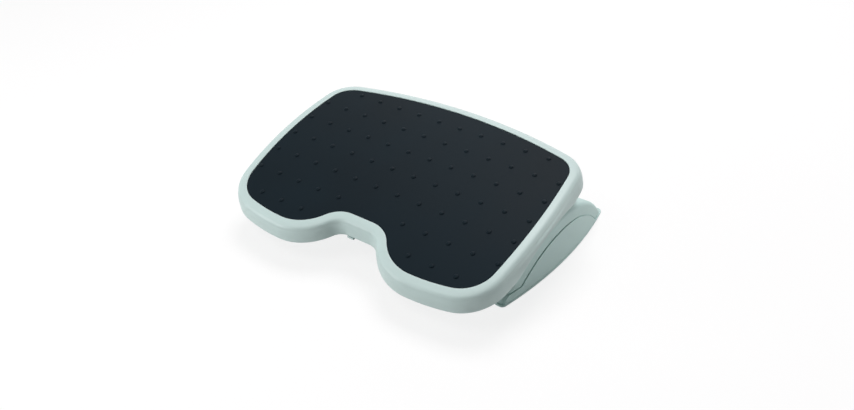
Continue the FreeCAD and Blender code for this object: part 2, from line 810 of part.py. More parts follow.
def make_brake_track():
    """A curved strip with shallow cross grooves that the brake lining grips."""
    top = "sizes.arch_radius + sizes.track_thick"
    band = arc_band("track_band", "sizes.arch_radius", top, -size("track_front"), size("track_rear"),
                    "-sizes.lever_place", "sizes.track_width", z="-sizes.arc_drop")
    grooves = []
    step = 3.0
    count = int((size("track_front") + size("track_rear")) / step) - 1
    for index in range(count):
        angle = -size("track_front") + step * (index + 1)
        groove = doc.addObject("Part::Box", f"track_groove_{index}")
        bind(groove, Length="sizes.track_width - 6", Width="1.6", Height="3")
        radius = size("arch_radius") + size("track_thick") - 0.7
        sine, cosine = math.sin(math.radians(angle)), math.cos(math.radians(angle))
        turn = Rotation(Vector(1, 0, 0), -angle)
        corner = turn.multVec(Vector(0, -0.8, 0))
        put(groove, "-sizes.lever_place - sizes.track_width / 2 + 3", f"{radius * sine + corner.y}",
            f"{radius * cosine + corner.z} - sizes.arc_drop", turn)
        grooves.append(groove)
    return cut("brake_track", band, *grooves)


# Runners: moulded I-section rails whose feet follow the arc


def slide_radius():
    return "(sizes.arch_radius + sizes.glide_thick + sizes.running_gap)"


def make_runners():
    runners = []
    foot = slide_radius()
    for side, name in ((-1, "left_runner"), (1, "right_runner")):
        place = f"{side} * sizes.runner_place"
        sector = arc_band(name + "_sector", foot, foot + " + 60", -size("runner_front"), size("runner_rear"),
                          place, "sizes.runner_width")
        block = common(name + "_block", sector,
                       crown_bar(name + "_head_line", "-sizes.mat_thick - sizes.deck_thick"))
        pocket_top = crown_bar(name + "_pocket_top",
                               "-sizes.mat_thick - sizes.deck_thick - sizes.runner_head")
        pockets = []
        for flank, shift in (("in", "-sizes.runner_width / 2 - 1"), ("out", "sizes.runner_web / 2")):
            slab = box(f"{name}_{flank}_slab", f"{place} + ({shift})", "-150", "100",
                       "(sizes.runner_width - sizes.runner_web) / 2 + 1", "300", "140")
            pockets.append(slab)
        side_room = fuse(name + "_side_room", *pockets)
        bottom = cylinder_x(name + "_pocket_bottom", foot + " + sizes.runner_foot")
        hollow = cut(name + "_hollow", common(name + "_pocket_limit", side_room, pocket_top), bottom)
        kept = []
        for index, angle in enumerate((-size("runner_front") + 1.0, -size("bolt_front"), 3.0,
                                       size("bolt_rear"), size("runner_rear") - 1.0)):
            rib = doc.addObject("Part::Box", f"{name}_rib_{index}")
            wide = 3.0 if index in (0, 2, 4) else 14.0
            bind(rib, Length="sizes.runner_width", Width=f"{wide}", Height="90")
            turn = Rotation(Vector(1, 0, 0), -angle)
            radius = size("arch_radius") - 5
            sine, cosine = math.sin(math.radians(angle)), math.cos(math.radians(angle))
            corner = turn.multVec(Vector(0, -wide / 2, 0))
            put(rib, f"{place} - sizes.runner_width / 2", f"{radius * sine + corner.y}",
                f"{radius * cosine + corner.z}", turn)
            kept.append(rib)
        hollow_left = cut(name + "_hollow_left", hollow, *kept)
        bores = []
        for index, angle in enumerate((-size("bolt_front"), size("bolt_rear"))):
            bore = radial_bar(f"{name}_bore_{index}", "sizes.bolt_radius + sizes.pin_fit", place, angle,
                              "sizes.arch_radius", "sizes.bolt_depth + 2")
            bores.append(bore)
        for index, (x, y, z) in enumerate(runner_screw_places()):
            if x * side > 0:
                bores.append(prism_z(f"{name}_pilot_{index}", 8, "sizes.screw_radius + sizes.pin_fit",
                                     f"{x}", f"{y}", f"{z} - 9", "20"))
        runners.append(cut(name, block, hollow_left, *bores))
    return runners


def radial_bar(name, radius, place, angle, start, length):
    """A twelve-sided bar that points out from the arc's axis at an angle off upright."""
    bar = doc.addObject("Part::Prism", name)
    bar.Polygon = 12
    bind(bar, Circumradius=radius, Height=length)
    sine, cosine = math.sin(math.radians(angle)), math.cos(math.radians(angle))
    return put(bar, place, f"({start}) * {sine}", f"({start}) * {cosine}",
               Rotation(Vector(1, 0, 0), -angle))


def guide_group(name, build):
    """The same piece at each of the guide-bolt places."""
    pieces = []
    for side in (-1, 1):
        for end, angle in (("front", -size("bolt_front")), ("rear", size("bolt_rear"))):
            pieces.append(build(f"{name}_{side + 1}_{end}", f"{side} * sizes.runner_place", angle))
    doc.recompute()
    group = doc.addObject("Part::Feature", name)
    group.Shape = Part.makeCompound([piece.Shape for piece in pieces])
    return group


BUSH_TOP = "(sizes.arch_radius - sizes.hood_wall - sizes.running_gap)"
BUSH_LOW = f"({BUSH_TOP} - sizes.bush_height)"


def make_guide_bolts():
    """Shoulder bolts from under the hood up into the runners, with wide heads."""

    def bolt(name, place, angle):
        head = radial_bar(name + "_head", "sizes.bolt_head_radius", place, angle,
                          BUSH_LOW + " - sizes.bolt_head_height", "sizes.bolt_head_height")
        shank = radial_bar(name + "_shank", "sizes.bolt_radius", place, angle, BUSH_LOW,
                           f"sizes.arch_radius + sizes.bolt_depth - {BUSH_LOW}")
        return fuse(name, head, shank)

    return guide_group("guide_bolts", bolt)


def make_guide_bushes():
    """Bushes on the bolts that hold the platform down against the hood's inside."""

    def bush(name, place, angle):
        ring = radial_bar(name + "_ring", "sizes.bush_radius", place, angle, BUSH_LOW, "sizes.bush_height")
        bore = radial_bar(name + "_bore", "sizes.bolt_radius + sizes.pin_fit", place, angle, BUSH_LOW,
                          "sizes.bush_height")
        return cut(name, ring, bore)

    return guide_group("guide_bushes", bush)


# Release lever with its brake shoe, on a bracket under the deck


def shoe_centre_radius():
    return size("arch_radius") + size("track_thick") + size("running_gap") + size("lining_thick")


def pin_centre():
    """The lever's pivot lies square to the brake shoe's own radius, one reach forward."""
    turn = math.radians(size("shoe_angle"))
    radius, reach = shoe_centre_radius(), size("lever_reach")
    y = -radius * math.sin(turn) - reach * math.cos(turn)
    z = radius * math.cos(turn) - reach * math.sin(turn) + 4.0
    return y, z


def lever_side_profile():
    """Side view of the pressed-steel lever, from the brake shoe to the toe tab."""
    turn = math.radians(size("shoe_angle"))
    radius = shoe_centre_radius()
    pin_y, pin_z = pin_centre()

    def over_shoe(degrees, rise):
        angle = turn + math.radians(degrees)
        return -(radius + rise) * math.sin(angle), (radius + rise) * math.cos(angle)

    span = size("shoe_half_span")
    tab_y, tab_z = -size("tab_forward"), size("tab_height")
    return [
        over_shoe(-span, 2.5),
        over_shoe(span, 2.5),
        (pin_y, pin_z - 6.0),
        (pin_y - 12.0, pin_z - 4.5),
        (tab_y + 14.0, tab_z - 2.5),
        (tab_y, tab_z - 1.5),
        (tab_y, tab_z + 1.5),
        (tab_y + 14.0, tab_z + 1.5),
        (pin_y - 8.0, pin_z + 5.5),
        (pin_y, pin_z + 6.5),
        (pin_y + 9.0, pin_z + 6.0),
        over_shoe(span, 11.0),
        over_shoe(-span, 11.0),
    ]


def side_body(name, profile, width):
    """A body padded both ways from a side-view profile."""
    body = doc.addObject("PartDesign::Body", name)
    sketch = new_sketch(body, name + "_side", "YZ_Plane")
    closed_path(sketch, profile)
    pad = body.newObject("PartDesign::Pad", name + "_pad")
    pad.Profile = sketch
    pad.Midplane = True
    pad.setExpression("Length", width)
    doc.recompute()
    return body


def make_lever_arm():
    body = side_body("lever_blank", lever_side_profile(), "sizes.shoe_width + 2 * sizes.plate_thick")
    put(body, "-sizes.lever_place")
    pin_y, pin_z = pin_centre()
    channel = box("lever_channel", "-sizes.lever_place - sizes.shoe_width / 2", f"{pin_y - 9}", "100",
                  "sizes.shoe_width", "200", "110")
    tongue_start = pin_y - 26.0
    trims = []
    for side in (-1, 1):
        start = f"-sizes.lever_place + {side} * (sizes.tab_width / 2 + 5) - 5"
        trims.append(box(f"tongue_trim_{side + 1}", start, "-200", "100", "10", f"{tongue_start + 200}",
                         "110"))
    bore = cylinder_x("lever_bore", "sizes.pin_radius + sizes.pin_fit", f"{pin_y}", f"{pin_z}", "100")
    return cut("lever_arm", body, channel, bore, *trims, *rivet_bores("lever"))


def rivet_places():
    places = []
    radius = shoe_centre_radius() + 6.0
    for degrees in (-4.0, 4.0):
        angle = math.radians(size("shoe_angle") + degrees)
        places.append((-radius * math.sin(angle), radius * math.cos(angle)))
    return places


def rivet_bores(name):
    return [prism_x(f"{name}_rivet_bore_{index}", 12, "sizes.rivet_radius + sizes.pin_fit", f"{y}", f"{z}",
                    "-100", "200") for index, (y, z) in enumerate(rivet_places())]


def make_brake_shoe():
    inner = f"{shoe_centre_radius()}"
    outer = f"{shoe_centre_radius()} + sizes.shoe_thick"
    front = -size("shoe_angle") - size("shoe_half_span") + 0.5
    rear = -size("shoe_angle") + size("shoe_half_span") - 0.5
    block = arc_band("shoe_block", inner, outer, front, rear, "-sizes.lever_place",
                     "sizes.shoe_width - 0.1")
    return cut("brake_shoe", block, *rivet_bores("shoe"))


def make_brake_lining():
    inner = "sizes.arch_radius + sizes.track_thick + sizes.running_gap"
    outer = f"{inner} + sizes.lining_thick"
    front = -size("shoe_angle") - size("shoe_half_span")
    rear = -size("shoe_angle") + size("shoe_half_span")
    return arc_band("brake_lining", inner, outer, front, rear, "-sizes.lever_place",
                    "sizes.shoe_width + 8")


def make_shoe_rivets():
    """Rivets through the lever's cheeks and the brake shoe, with flat heads."""
    half = size("shoe_width") / 2 + size("plate_thick")
    head_height = 1.2
    rivets = []
    for index, (y, z) in enumerate(rivet_places()):
        bars = []
        wide = "sizes.rivet_head_radius"
        for part, radius, start, length in (("shank", "sizes.rivet_radius", -half - 0.5, 2 * half + 1),
                                            ("head", wide, -half - head_height, head_height),
                                            ("tail", wide, half, head_height)):
            bars.append(prism_x(f"rivet_{part}_{index}", 12, radius, f"{y}", f"{z}",
                                f"-sizes.lever_place + {start}", f"{length}"))
        rivets.append(fuse(f"rivet_{index}", *bars))
    doc.recompute()
    group = doc.addObject("Part::Feature", "shoe_rivets")
    group.Shape = Part.makeCompound([rivet.Shape for rivet in rivets])
    return group


def make_toe_tab():
    """A moulded tab on the lever's front end that the toe presses."""
    y, z = -size("tab_forward"), size("tab_height")
    profile = [(y - 2.5, z - 1.5), (y - 1.0, z - 4.0), (y + 8.0, z - 4.0), (y + 8.0, z - 2.2),
               (y - 0.1, z - 1.6), (y - 0.1, z + 1.7), (y - 2.5, z + 1.7)]
    body = side_body("toe_tab", profile, "sizes.tab_width")
    put(body, "-sizes.lever_place")
    return body


def make_toe_tip():
    """A small rubber grip under the tab."""
    y, z = -size("tab_forward"), size("tab_height")
    profile = [(y - 0.5, z - 4.0), (y + 7.0, z - 4.0), (y + 6.0, z - 5.5), (y + 0.5, z - 5.5)]
    body = side_body("toe_tip", profile, "sizes.tab_width - 2")
    put(body, "-sizes.lever_place")
    return body


def make_lever_bracket():
    """A moulded fork under the deck with two ears for the pivot pin."""
    pin_y, pin_z = pin_centre()
    ear_gap = "(sizes.shoe_width + 2 * sizes.plate_thick + 2)"
    ear = 3.0
    wide = f"({ear_gap} + {2 * ear})"
    profile = [(pin_y - 22, 214), (pin_y - 22, 200), (pin_y - 7, pin_z - 2), (pin_y - 3, pin_z - 6),
               (pin_y + 3, pin_z - 6), (pin_y + 7, pin_z - 2), (pin_y + 22, 200), (pin_y + 22, 214)]
    fork = side_body("bracket_fork", profile, wide)
    put(fork, "-sizes.lever_place")
    plate = box("bracket_plate", f"-sizes.lever_place - {wide} / 2", f"{pin_y - 34}", "195", wide, "68", "20")
    ears = fuse("bracket_ears", fork, plate)
    under = "-sizes.mat_thick - sizes.deck_thick"
    capped = common("bracket_capped", ears, crown_bar("bracket_line", under))
    plate_floor = crown_bar("bracket_plate_floor", under + " - 3.5")
    gap = common("bracket_gap", plate_floor, box("bracket_gap_box", f"-sizes.lever_place - {ear_gap} / 2",
                                                 f"{pin_y - 60}", "100", ear_gap, "140", "130"))
    ends = []
    for index, start in enumerate((pin_y - 60, pin_y + 22)):
        ends.append(common(f"bracket_end_{index}", crown_bar(f"bracket_end_line_{index}", under + " - 3.5"),
                           box(f"bracket_end_box_{index}", "-100", f"{start}", "100", "200", "38", "130")))
    bore = cylinder_x("bracket_bore", "sizes.pin_radius + sizes.pin_fit", f"{pin_y}", f"{pin_z}", "100")
    holes = [prism_z(f"bracket_hole_{index}", 8, "sizes.screw_radius + sizes.pin_fit", f"{x}", f"{y}",
                     "195", "30") for index, (x, y) in enumerate(bracket_screw_places())]
    return cut("lever_bracket", capped, gap, *ends, bore, *holes)


def bracket_screw_places():
    pin_y = pin_centre()[0]
    middle = -size("lever_place")
    return [(middle + x, pin_y + y) for x in (-8.0, 8.0) for y in (-28.0, 28.0)]


def make_pivot_pin():
    pin_y, pin_z = pin_centre()
    half = size("shoe_width") / 2 + size("plate_thick") + 1 + 3
    radius = size("pin_radius")
    profile = [(0, -half - 1.5), (radius + 1.2, -half - 1.5), (radius + 1.2, -half - 0.1),
               (radius, -half - 0.1), (radius, half + 0.4), (radius - 0.6, half + 0.4),
               (radius - 0.6, half + 1.3), (radius, half + 1.3), (radius, half + 2.4),
               (radius - 0.5, half + 2.9), (0, half + 2.9)]
    body = turned_body("pivot_pin", profile)
    return put(body, "-sizes.lever_place", f"{pin_y}", f"{pin_z}", ALONG_X)


def make_pin_clip():
    """A snap ring in the groove at the pin's end."""
    pin_y, pin_z = pin_centre()
    half = size("shoe_width") / 2 + size("plate_thick") + 1 + 3
    radius = size("pin_radius")
    thick = 0.8
    ring = Part.makeCylinder(radius + 2.2, thick).cut(Part.makeCylinder(radius - 0.55, thick))
    mouth = Part.makeBox(2.6, 10, 2, Vector(-1.3, 0, -0.5))
    item = doc.addObject("Part::Feature", "pin_clip")
    item.Shape = ring.cut(mouth)
    item.Placement = Placement(Vector(-size("lever_place") + half + 0.45, pin_y, pin_z), ALONG_X)
    return item


def make_lever_spring():
    """A hairpin leaf spring between the deck and the top of the brake shoe."""
    leaf = size("leaf_thick")
    top = size("mat_height") - size("mat_thick") - size("deck_thick") - 0.2
    low = size("leaf_low")
    bend = (top - low) / 2
    front, rear = size("leaf_front"), size("leaf_rear")
    body = doc.addObject("PartDesign::Body", "lever_spring")
    sketch = new_sketch(body, "lever_spring_side", "YZ_Plane")
    half_turn = (math.pi / 2, 3 * math.pi / 2)
    outer = Part.Circle(Vector(front, top - bend, 0), Vector(0, 0, 1), bend)
    inner = Part.Circle(Vector(front, top - bend, 0), Vector(0, 0, 1), bend - leaf)
    sketch.addGeometry([
        Part.ArcOfCircle(outer, *half_turn),
        Part.LineSegment(Vector(front, low, 0), Vector(rear, low, 0)),
        Part.LineSegment(Vector(rear, low, 0), Vector(rear, low + leaf, 0)),
        Part.LineSegment(Vector(rear, low + leaf, 0), Vector(front, low + leaf, 0)),
        Part.ArcOfCircle(inner, *half_turn),
        Part.LineSegment(Vector(front, top - leaf, 0), Vector(rear, top - leaf, 0)),
        Part.LineSegment(Vector(rear, top - leaf, 0), Vector(rear, top, 0)),
        Part.LineSegment(Vector(rear, top, 0), Vector(front, top, 0)),
    ])
    pad = body.newObject("PartDesign::Pad", "lever_spring_pad")
    pad.Profile = sketch
    pad.Midplane = True
    pad.setExpression("Length", "sizes.leaf_width")
    doc.recompute()
    return put(body, "-sizes.lever_place")


# Screws, as groups of separate solids


def screw_group(name, places, length, head_down=True):
    """The same hexagon-headed screw at several places: x, y and the height of its head's seat."""
    screws = []
    overlap = 0.2
    for index, (x, y, z) in enumerate(places):
        head = prism_z(f"{name}_head_{index}", 6, "sizes.screw_head_radius", f"{x}", f"{y}",
                       f"{z} - sizes.screw_head_height" if head_down else f"{z}", "sizes.screw_head_height")
        shank = prism_z(f"{name}_shank_{index}", 8, "sizes.screw_radius", f"{x}", f"{y}",
                        f"{z - overlap}" if head_down else f"{z - length}", f"{length + overlap}")
        screws.append(fuse(f"{name}_{index}", head, shank))
    doc.recompute()
    group = doc.addObject("Part::Feature", name)
    group.Shape = Part.makeCompound([screw.Shape for screw in screws])
    return group


def make_screws():
    pan = [(x, y, size("pan_bottom") + size("screw_sink")) for x, y in hood_post_places()]
    under = size("mat_height") - size("mat_thick") - size("deck_thick")
    bracket = []
    for x, y in bracket_screw_places():
        drop = crown_drop(y + size("mat_middle"))
        bracket.append((x, y, under - drop - 3.9))
    return [screw_group("pan_screws", pan, 12.0), screw_group("bracket_screws", bracket, 3.4),
            screw_group("runner_screws", runner_screw_places(), 8.0, head_down=False)]


PLATFORM = ["tray_shell", "tread_mat", "left_runner", "right_runner", "guide_bolts", "guide_bushes",
            "lever_bracket", "bracket_screws", "runner_screws", "pivot_pin", "pin_clip", "lever_spring",
            "lever_arm", "brake_shoe", "brake_lining", "shoe_rivets", "toe_tab", "toe_tip"]


def row_placement(name):
    """From a piece's own frame to the row frame: the platform is also tilted."""
    if name in PLATFORM:
        lift = Vector(0, size("row_shift"), -size("arc_drop"))
        return Placement(lift, Rotation(Vector(1, 0, 0), size("rest_tilt")))
    return Placement(Vector(0, size("row_shift"), 0), Rotation())


def seat(piece):
    """Give a finished piece its label, and move it from its own frame into the product's."""
    for axis in ("x", "y", "z"):
        piece.setExpression(f".Placement.Base.{axis}", None)
    piece.Placement = row_placement(piece.Name).multiply(piece.Placement)
    piece.Label = piece.Name


def write_parts(pieces):
    """Check every object and shape, then write one STEP file for each piece."""
    doc.recompute()
    for piece in pieces:
        seat(piece)
    doc.recompute()
    faults = [item.Name for item in doc.Objects if {"Invalid", "Error"} & set(item.State)]
    if faults:
        raise RuntimeError(f"failed objects: {faults}")
    os.makedirs("parts", exist_ok=True)
    for piece in pieces:
        shape = piece.Shape
        if shape.isNull() or not shape.isValid():
            raise RuntimeError(f"bad shape: {piece.Label}")
        shape.exportStep(os.path.join("parts", piece.Label + ".step"))
        reach = shape.BoundBox
        print(piece.Label, len(shape.Solids), round(shape.Volume / 1000, 2),
              [round(value, 1) for value in (reach.XMin, reach.XMax, reach.YMin, reach.YMax,
                                             reach.ZMin, reach.ZMax)])


pieces = [make_tray_shell(), make_tread_mat()]
pieces += make_side_covers()
pieces += [make_base_hood(), make_base_pan()]
pieces += make_feet()
pieces += make_glide_strips()
pieces += [make_brake_track()]
pieces += make_runners()
pieces += [make_guide_bolts(), make_guide_bushes()]
pieces += [make_lever_arm(), make_brake_shoe(), make_brake_lining(), make_shoe_rivets()]
pieces += [make_toe_tab(), make_toe_tip(), make_lever_bracket(), make_pivot_pin(), make_pin_clip()]
pieces += [make_lever_spring()]
pieces += make_screws()
write_parts(pieces)
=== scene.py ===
import json
import math

import bmesh
import bpy
from mathutils import Matrix, Vector


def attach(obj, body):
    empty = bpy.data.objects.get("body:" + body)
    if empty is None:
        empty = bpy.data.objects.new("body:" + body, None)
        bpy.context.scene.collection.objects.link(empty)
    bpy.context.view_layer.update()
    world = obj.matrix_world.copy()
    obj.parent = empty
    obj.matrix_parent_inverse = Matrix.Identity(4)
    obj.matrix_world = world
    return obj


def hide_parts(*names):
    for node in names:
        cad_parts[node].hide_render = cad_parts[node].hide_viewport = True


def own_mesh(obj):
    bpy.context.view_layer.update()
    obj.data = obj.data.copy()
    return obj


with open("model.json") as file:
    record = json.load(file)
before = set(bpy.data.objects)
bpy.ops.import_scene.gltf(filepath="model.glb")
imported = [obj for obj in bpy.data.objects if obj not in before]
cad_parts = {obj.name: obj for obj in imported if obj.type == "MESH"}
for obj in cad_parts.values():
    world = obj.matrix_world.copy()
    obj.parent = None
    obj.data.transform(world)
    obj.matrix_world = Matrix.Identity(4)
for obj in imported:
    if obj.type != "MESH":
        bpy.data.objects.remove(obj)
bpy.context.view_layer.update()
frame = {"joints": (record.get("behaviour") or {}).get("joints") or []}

# Camera: stands a little right of the footrest's middle line, in front of it and above, as the
# photograph was taken. It has no roll, and its lens is a moderate wide angle.
CAMERA_PLACE = (0.6225, -0.8539, 0.74985)
CAMERA_FORWARD = (-0.4787, 0.6754, -0.5610)
LENS_MM = 35.845
SENSOR_MM = 36.0


def in_scene(name, data):
    """A new object in the scene that shows some data."""
    thing = bpy.data.objects.new(name, data)
    bpy.context.scene.collection.objects.link(thing)
    return thing


def aimed(name, data, place, forward):
    """A camera or a lamp at a place, turned to look along a direction."""
    holder = in_scene(name, data)
    holder.location = place
    holder.rotation_euler = Vector(forward).to_track_quat("-Z", "Y").to_euler()
    return holder


camera_data = bpy.data.cameras.new("camera")
camera_data.sensor_width = SENSOR_MM
camera_data.lens = LENS_MM
bpy.context.scene.camera = aimed("camera", camera_data, CAMERA_PLACE, CAMERA_FORWARD)


# Base hood: the arched upper moulding of the base, in grey-green plastic with a fine spark-eroded
# grain. The platform rocks on its arch. Its cheeks bulge and lean in a little, its long edges are
# rounded, its front is set back in a bow, and curved slots let the platform's guide bolts through.
AXIS = Vector(next(joint["pos_m"] for joint in frame["joints"] if joint["name"] == "platform_tilt"))
ARC_DROP = -AXIS.z
ARCH_RADIUS = 0.171
HALF_WIDTH = 0.2265
BULGE = 0.692
BULGE_CENTRE = HALF_WIDTH - BULGE
BULGE_MIDDLE = 0.0174
DRAFT = math.tan(math.radians(6.0))
EDGE_ROUND = 0.007
CHEEK_STEP = 0.0012
CHEEK_WALL = 0.0032
HOOD_WALL = 0.003
HOOD_FOOT = 0.005
COVER_THICK = 0.0027
FASCIA_RADIUS = 0.780
FASCIA_SET_BACK = 0.026
FASCIA_CENTRE = FASCIA_SET_BACK - math.sqrt(ARCH_RADIUS**2 - ARC_DROP**2) - FASCIA_RADIUS
SEAM_RADIUS = 0.1523
SEAM_GAP = 0.0011
LEDGE = 0.0166
COVER_LOW = 0.0052
RIB_HALF = 0.0011
RIB_RADIUS = 0.155
POST_RADIUS = 0.0055
POSTS = [(x, y) for x in (-0.196, 0.0, 0.196) for y in (-0.088, 0.100)]
RUNNER_PLACE = 0.115
SLOT_HALF = 0.0043
SLOT_REACH = 0.008
SLOT_SPARE = math.radians(0.4)
REST_TILT = math.radians(14.1)
TILT_UP = math.radians(7.0)
TILT_DOWN = math.radians(14.1)
BOLT_ANGLES = (math.radians(-17.0), math.radians(20.0))
PLATFORM_FRAME = Matrix.Translation(AXIS) @ Matrix.Rotation(REST_TILT, 4, "X")
BODY_PLACES = {"base": Matrix.Translation((0.0, AXIS.y, 0.0)), "platform": PLATFORM_FRAME,
               "release_lever": PLATFORM_FRAME}


def soften(data, smooth_below):
    """Shades a mesh smooth, apart from its sharper edges."""
    data.polygons.foreach_set("use_smooth", [True] * len(data.polygons))
    data.set_sharp_from_angle(angle=math.radians(smooth_below))


def new_piece(name, mesh, place=Matrix.Identity(4), smooth_below=35.0):
    """Turns a finished bmesh into an object whose place is in its mesh."""
    data = bpy.data.meshes.new(name)
    mesh.to_mesh(data)
    mesh.free()
    data.transform(place)
    soften(data, smooth_below)
    return in_scene(name, data)


def skin(mesh, rings):
    """Faces between rings of vertices, and one across each end."""
    for near, far in zip(rings, rings[1:]):
        for index in range(len(near)):
            after = (index + 1) % len(near)
            mesh.faces.new((near[index], near[after], far[after], far[index]))
    mesh.faces.new(rings[0][::-1])
    mesh.faces.new(rings[-1])


def loft(*solids):
    """A mesh of closed solids, each through equal-length closed sections."""
    mesh = bmesh.new()
    for sections in solids:
        skin(mesh, [[mesh.verts.new(point) for point in section] for section in sections])
    bmesh.ops.recalc_face_normals(mesh, faces=mesh.faces[:])
    return mesh


def carve(piece, *tool_meshes, operation="DIFFERENCE"):
    """Cuts solids away from a piece, or joins them on, as the mould's cores and inserts do."""
    for tool_mesh in tool_meshes:
        tool = new_piece("core", tool_mesh)
        modifier = piece.modifiers.new("carve", "BOOLEAN")
        modifier.operation, modifier.solver, modifier.object = operation, "EXACT", tool
        bpy.context.view_layer.update()
        done = bpy.data.meshes.new_from_object(piece.evaluated_get(bpy.context.evaluated_depsgraph_get()))
        piece.modifiers.remove(modifier)
        piece.data = done
        soften(done, 35.0)
        bpy.data.objects.remove(tool)


def bare_mesh(piece):
    """The mesh of a piece that was only a step on the way."""
    mesh = bmesh.new()
    mesh.from_mesh(piece.data)
    bpy.data.objects.remove(piece)
    return mesh


def carved_mesh(mesh, *tools):
    """A solid less others, as a bare mesh."""
    block = new_piece("block", mesh)
    carve(block, *tools)
    return bare_mesh(block)


def evenly(start, end, steps):
    """Values at even steps from a start to an end, with both of them."""
    return [start + (end - start) * count / steps for count in range(steps + 1)]


def arc(x, y, radius, start, end, steps):
    """Points of a circle's arc about a middle."""
    return [(x + radius * math.cos(turn), y + radius * math.sin(turn)) for turn in evenly(start, end, steps)]


def round_plan(radius, x, y, sides=24):
    """Corners of a round post seen from above."""
    return arc(x, y, radius, 0.0, 2 * math.pi, sides)[:-1]


def oblong(left, front, right, rear):
    """Corners of a rectangle seen from above."""
    return [(left, front), (right, front), (right, rear), (left, rear)]


def both_sides(half):
    """A half outline with its mirror image."""
    return half + [(-x, y) for x, y in reversed(half)]


def on_arch(radius, turn):
    """How far back and how high a point at an angle about the rocking axis is."""
    return radius * math.sin(turn), radius * math.cos(turn) - ARC_DROP


def prism(plan, low, high, axis=2):
    """A straight bar with a given outline, along one axis."""
    return loft([[(*point[:axis], level, *point[axis:]) for point in plan] for level in (low, high)])


def across(side_view, middle, half):
    """A bar from side to side with a given side view."""
    return prism(side_view, middle - half, middle + half, axis=0)


def cheek_reach(y, z, inset):
    """How far out a leaning, bulging cheek stands."""
    return BULGE_CENTRE + math.sqrt((BULGE - inset - z * DRAFT) ** 2 - (y - BULGE_MIDDLE) ** 2)


def arched_solid(inset, top, soft=0.0):
    """The space between the two cheeks and under the arch, with its long edges rounded."""
    sections = []
    for turn in map(math.radians, range(-64, 65, 2)):
        half = [(cheek_reach(*on_arch(radius, turn), inset), radius) for radius in evenly(0.070, top - soft, 4)]
        if soft:
            side, shoulder = half.pop()
            lean = math.atan2(side - cheek_reach(*on_arch(top, turn), inset), soft)
            half += arc(side - soft / math.cos(lean), shoulder, soft, lean, math.pi / 2, 8)
        sections.append([(x, *on_arch(radius, turn)) for x, radius in both_sides(half)])
    return loft(sections)


def fascia_bar(deeper):
    """What the bowed front leaves out, as a bar with an arc for its rear face."""
    bow = arc(0.0, FASCIA_CENTRE, FASCIA_RADIUS + deeper, math.radians(110.0), math.radians(70.0), 80)
    return prism([(-0.28, -0.4), *bow, (0.28, -0.4)], -0.02, 0.12)


def cover_outline(gap, steps=48):
    """Side view of a cover: a D over the cheek with a low toe that runs forward."""
    seam, ledge = SEAM_RADIUS - gap, LEDGE - gap
    start = math.asin(-math.sqrt(seam**2 - (ledge + ARC_DROP) ** 2) / seam)
    end = math.acos((COVER_LOW + ARC_DROP) / seam)
    return [(-0.160, COVER_LOW), (-0.160, ledge)] + [on_arch(seam, turn) for turn in evenly(start, end, steps)]


def guide_slots():
    """A tool for each guide slot, with its place: straight sides about the axis and round ends."""
    tools = []
    for place in (-RUNNER_PLACE, RUNNER_PLACE):
        for angle in BOLT_ANGLES:
            start, end = angle - REST_TILT - TILT_UP - SLOT_SPARE, angle - REST_TILT + TILT_DOWN + SLOT_SPARE
            plan = []
            for half, near, far in ((SLOT_HALF, start, end), (-SLOT_HALF, end, start)):
                plan += [(half, turn) for turn in evenly(near, far, 20)]
                plan += [(half * math.cos(turn), far + half / ARCH_RADIUS * math.sin(turn))
                         for turn in evenly(0.0, math.pi, 16)[1:-1]]
            tools.append((place, loft([[(place + x, *on_arch(radius, turn)) for x, turn in plan]
                                       for radius in (ARCH_RADIUS - SLOT_REACH, ARCH_RADIUS + SLOT_REACH)])))
    return tools


WIDE_PLAN = oblong(-0.3, -0.3, 0.3, 0.3)
hood = new_piece("hood_moulding", arched_solid(CHEEK_STEP, ARCH_RADIUS, EDGE_ROUND))
hollow = arched_solid(CHEEK_STEP + CHEEK_WALL + COVER_THICK, ARCH_RADIUS - HOOD_WALL)
carve(hood, prism(WIDE_PLAN, -0.2, HOOD_FOOT), fascia_bar(0.0), carved_mesh(hollow, fascia_bar(HOOD_WALL)))
for left, right in ((-0.3, 0.0), (0.0, 0.3)):
    carve(hood, carved_mesh(prism(cover_outline(0.0), left, right, axis=0),
                            arched_solid(COVER_THICK + 0.0001, ARCH_RADIUS + 0.01)))
for place in (-0.185, -0.070, 0.070, 0.185):
    rib = [on_arch(ARCH_RADIUS - 0.001, turn) for turn in map(math.radians, evenly(50.0, -43.0, 24))]
    rib.append((rib[-1][0], 0.0116))
    rib += [on_arch(RIB_RADIUS, turn) for turn in map(math.radians, evenly(-45.5, 45.5, 24))]
    carve(hood, across(rib, place, RIB_HALF), operation="UNION")
for x, y in POSTS:
    top = math.sqrt((ARCH_RADIUS - 0.001) ** 2 - (abs(y) + POST_RADIUS) ** 2) - ARC_DROP
    carve(hood, prism(round_plan(POST_RADIUS, x, y), HOOD_FOOT, top), operation="UNION")
    carve(hood, prism(round_plan(0.0018, x, y, 12), HOOD_FOOT - 0.001, HOOD_FOOT + 0.015))
carve(hood, *[tool for _, tool in guide_slots()])


def plug(socket, value):
    """Sets an input to a value, or links it to an output or to each of a list of outputs."""
    for source in value if isinstance(value, list) else [value]:
        source = getattr(source, "socket", source)
        if isinstance(source, bpy.types.NodeSocket):
            socket.id_data.links.new(source, socket)
        else:
            socket.default_value = source


def node(tree, kind, settings=None, out=0, **inputs):
    """Adds a node with its settings and its inputs, and gives one of its outputs."""
    made = tree.nodes.new(kind)
    for name, value in (settings or {}).items():
        setattr(made, name, value)
    for name, value in inputs.items():
        plug(made.inputs[name.replace("_", " ")], value)
    return made.outputs[out]


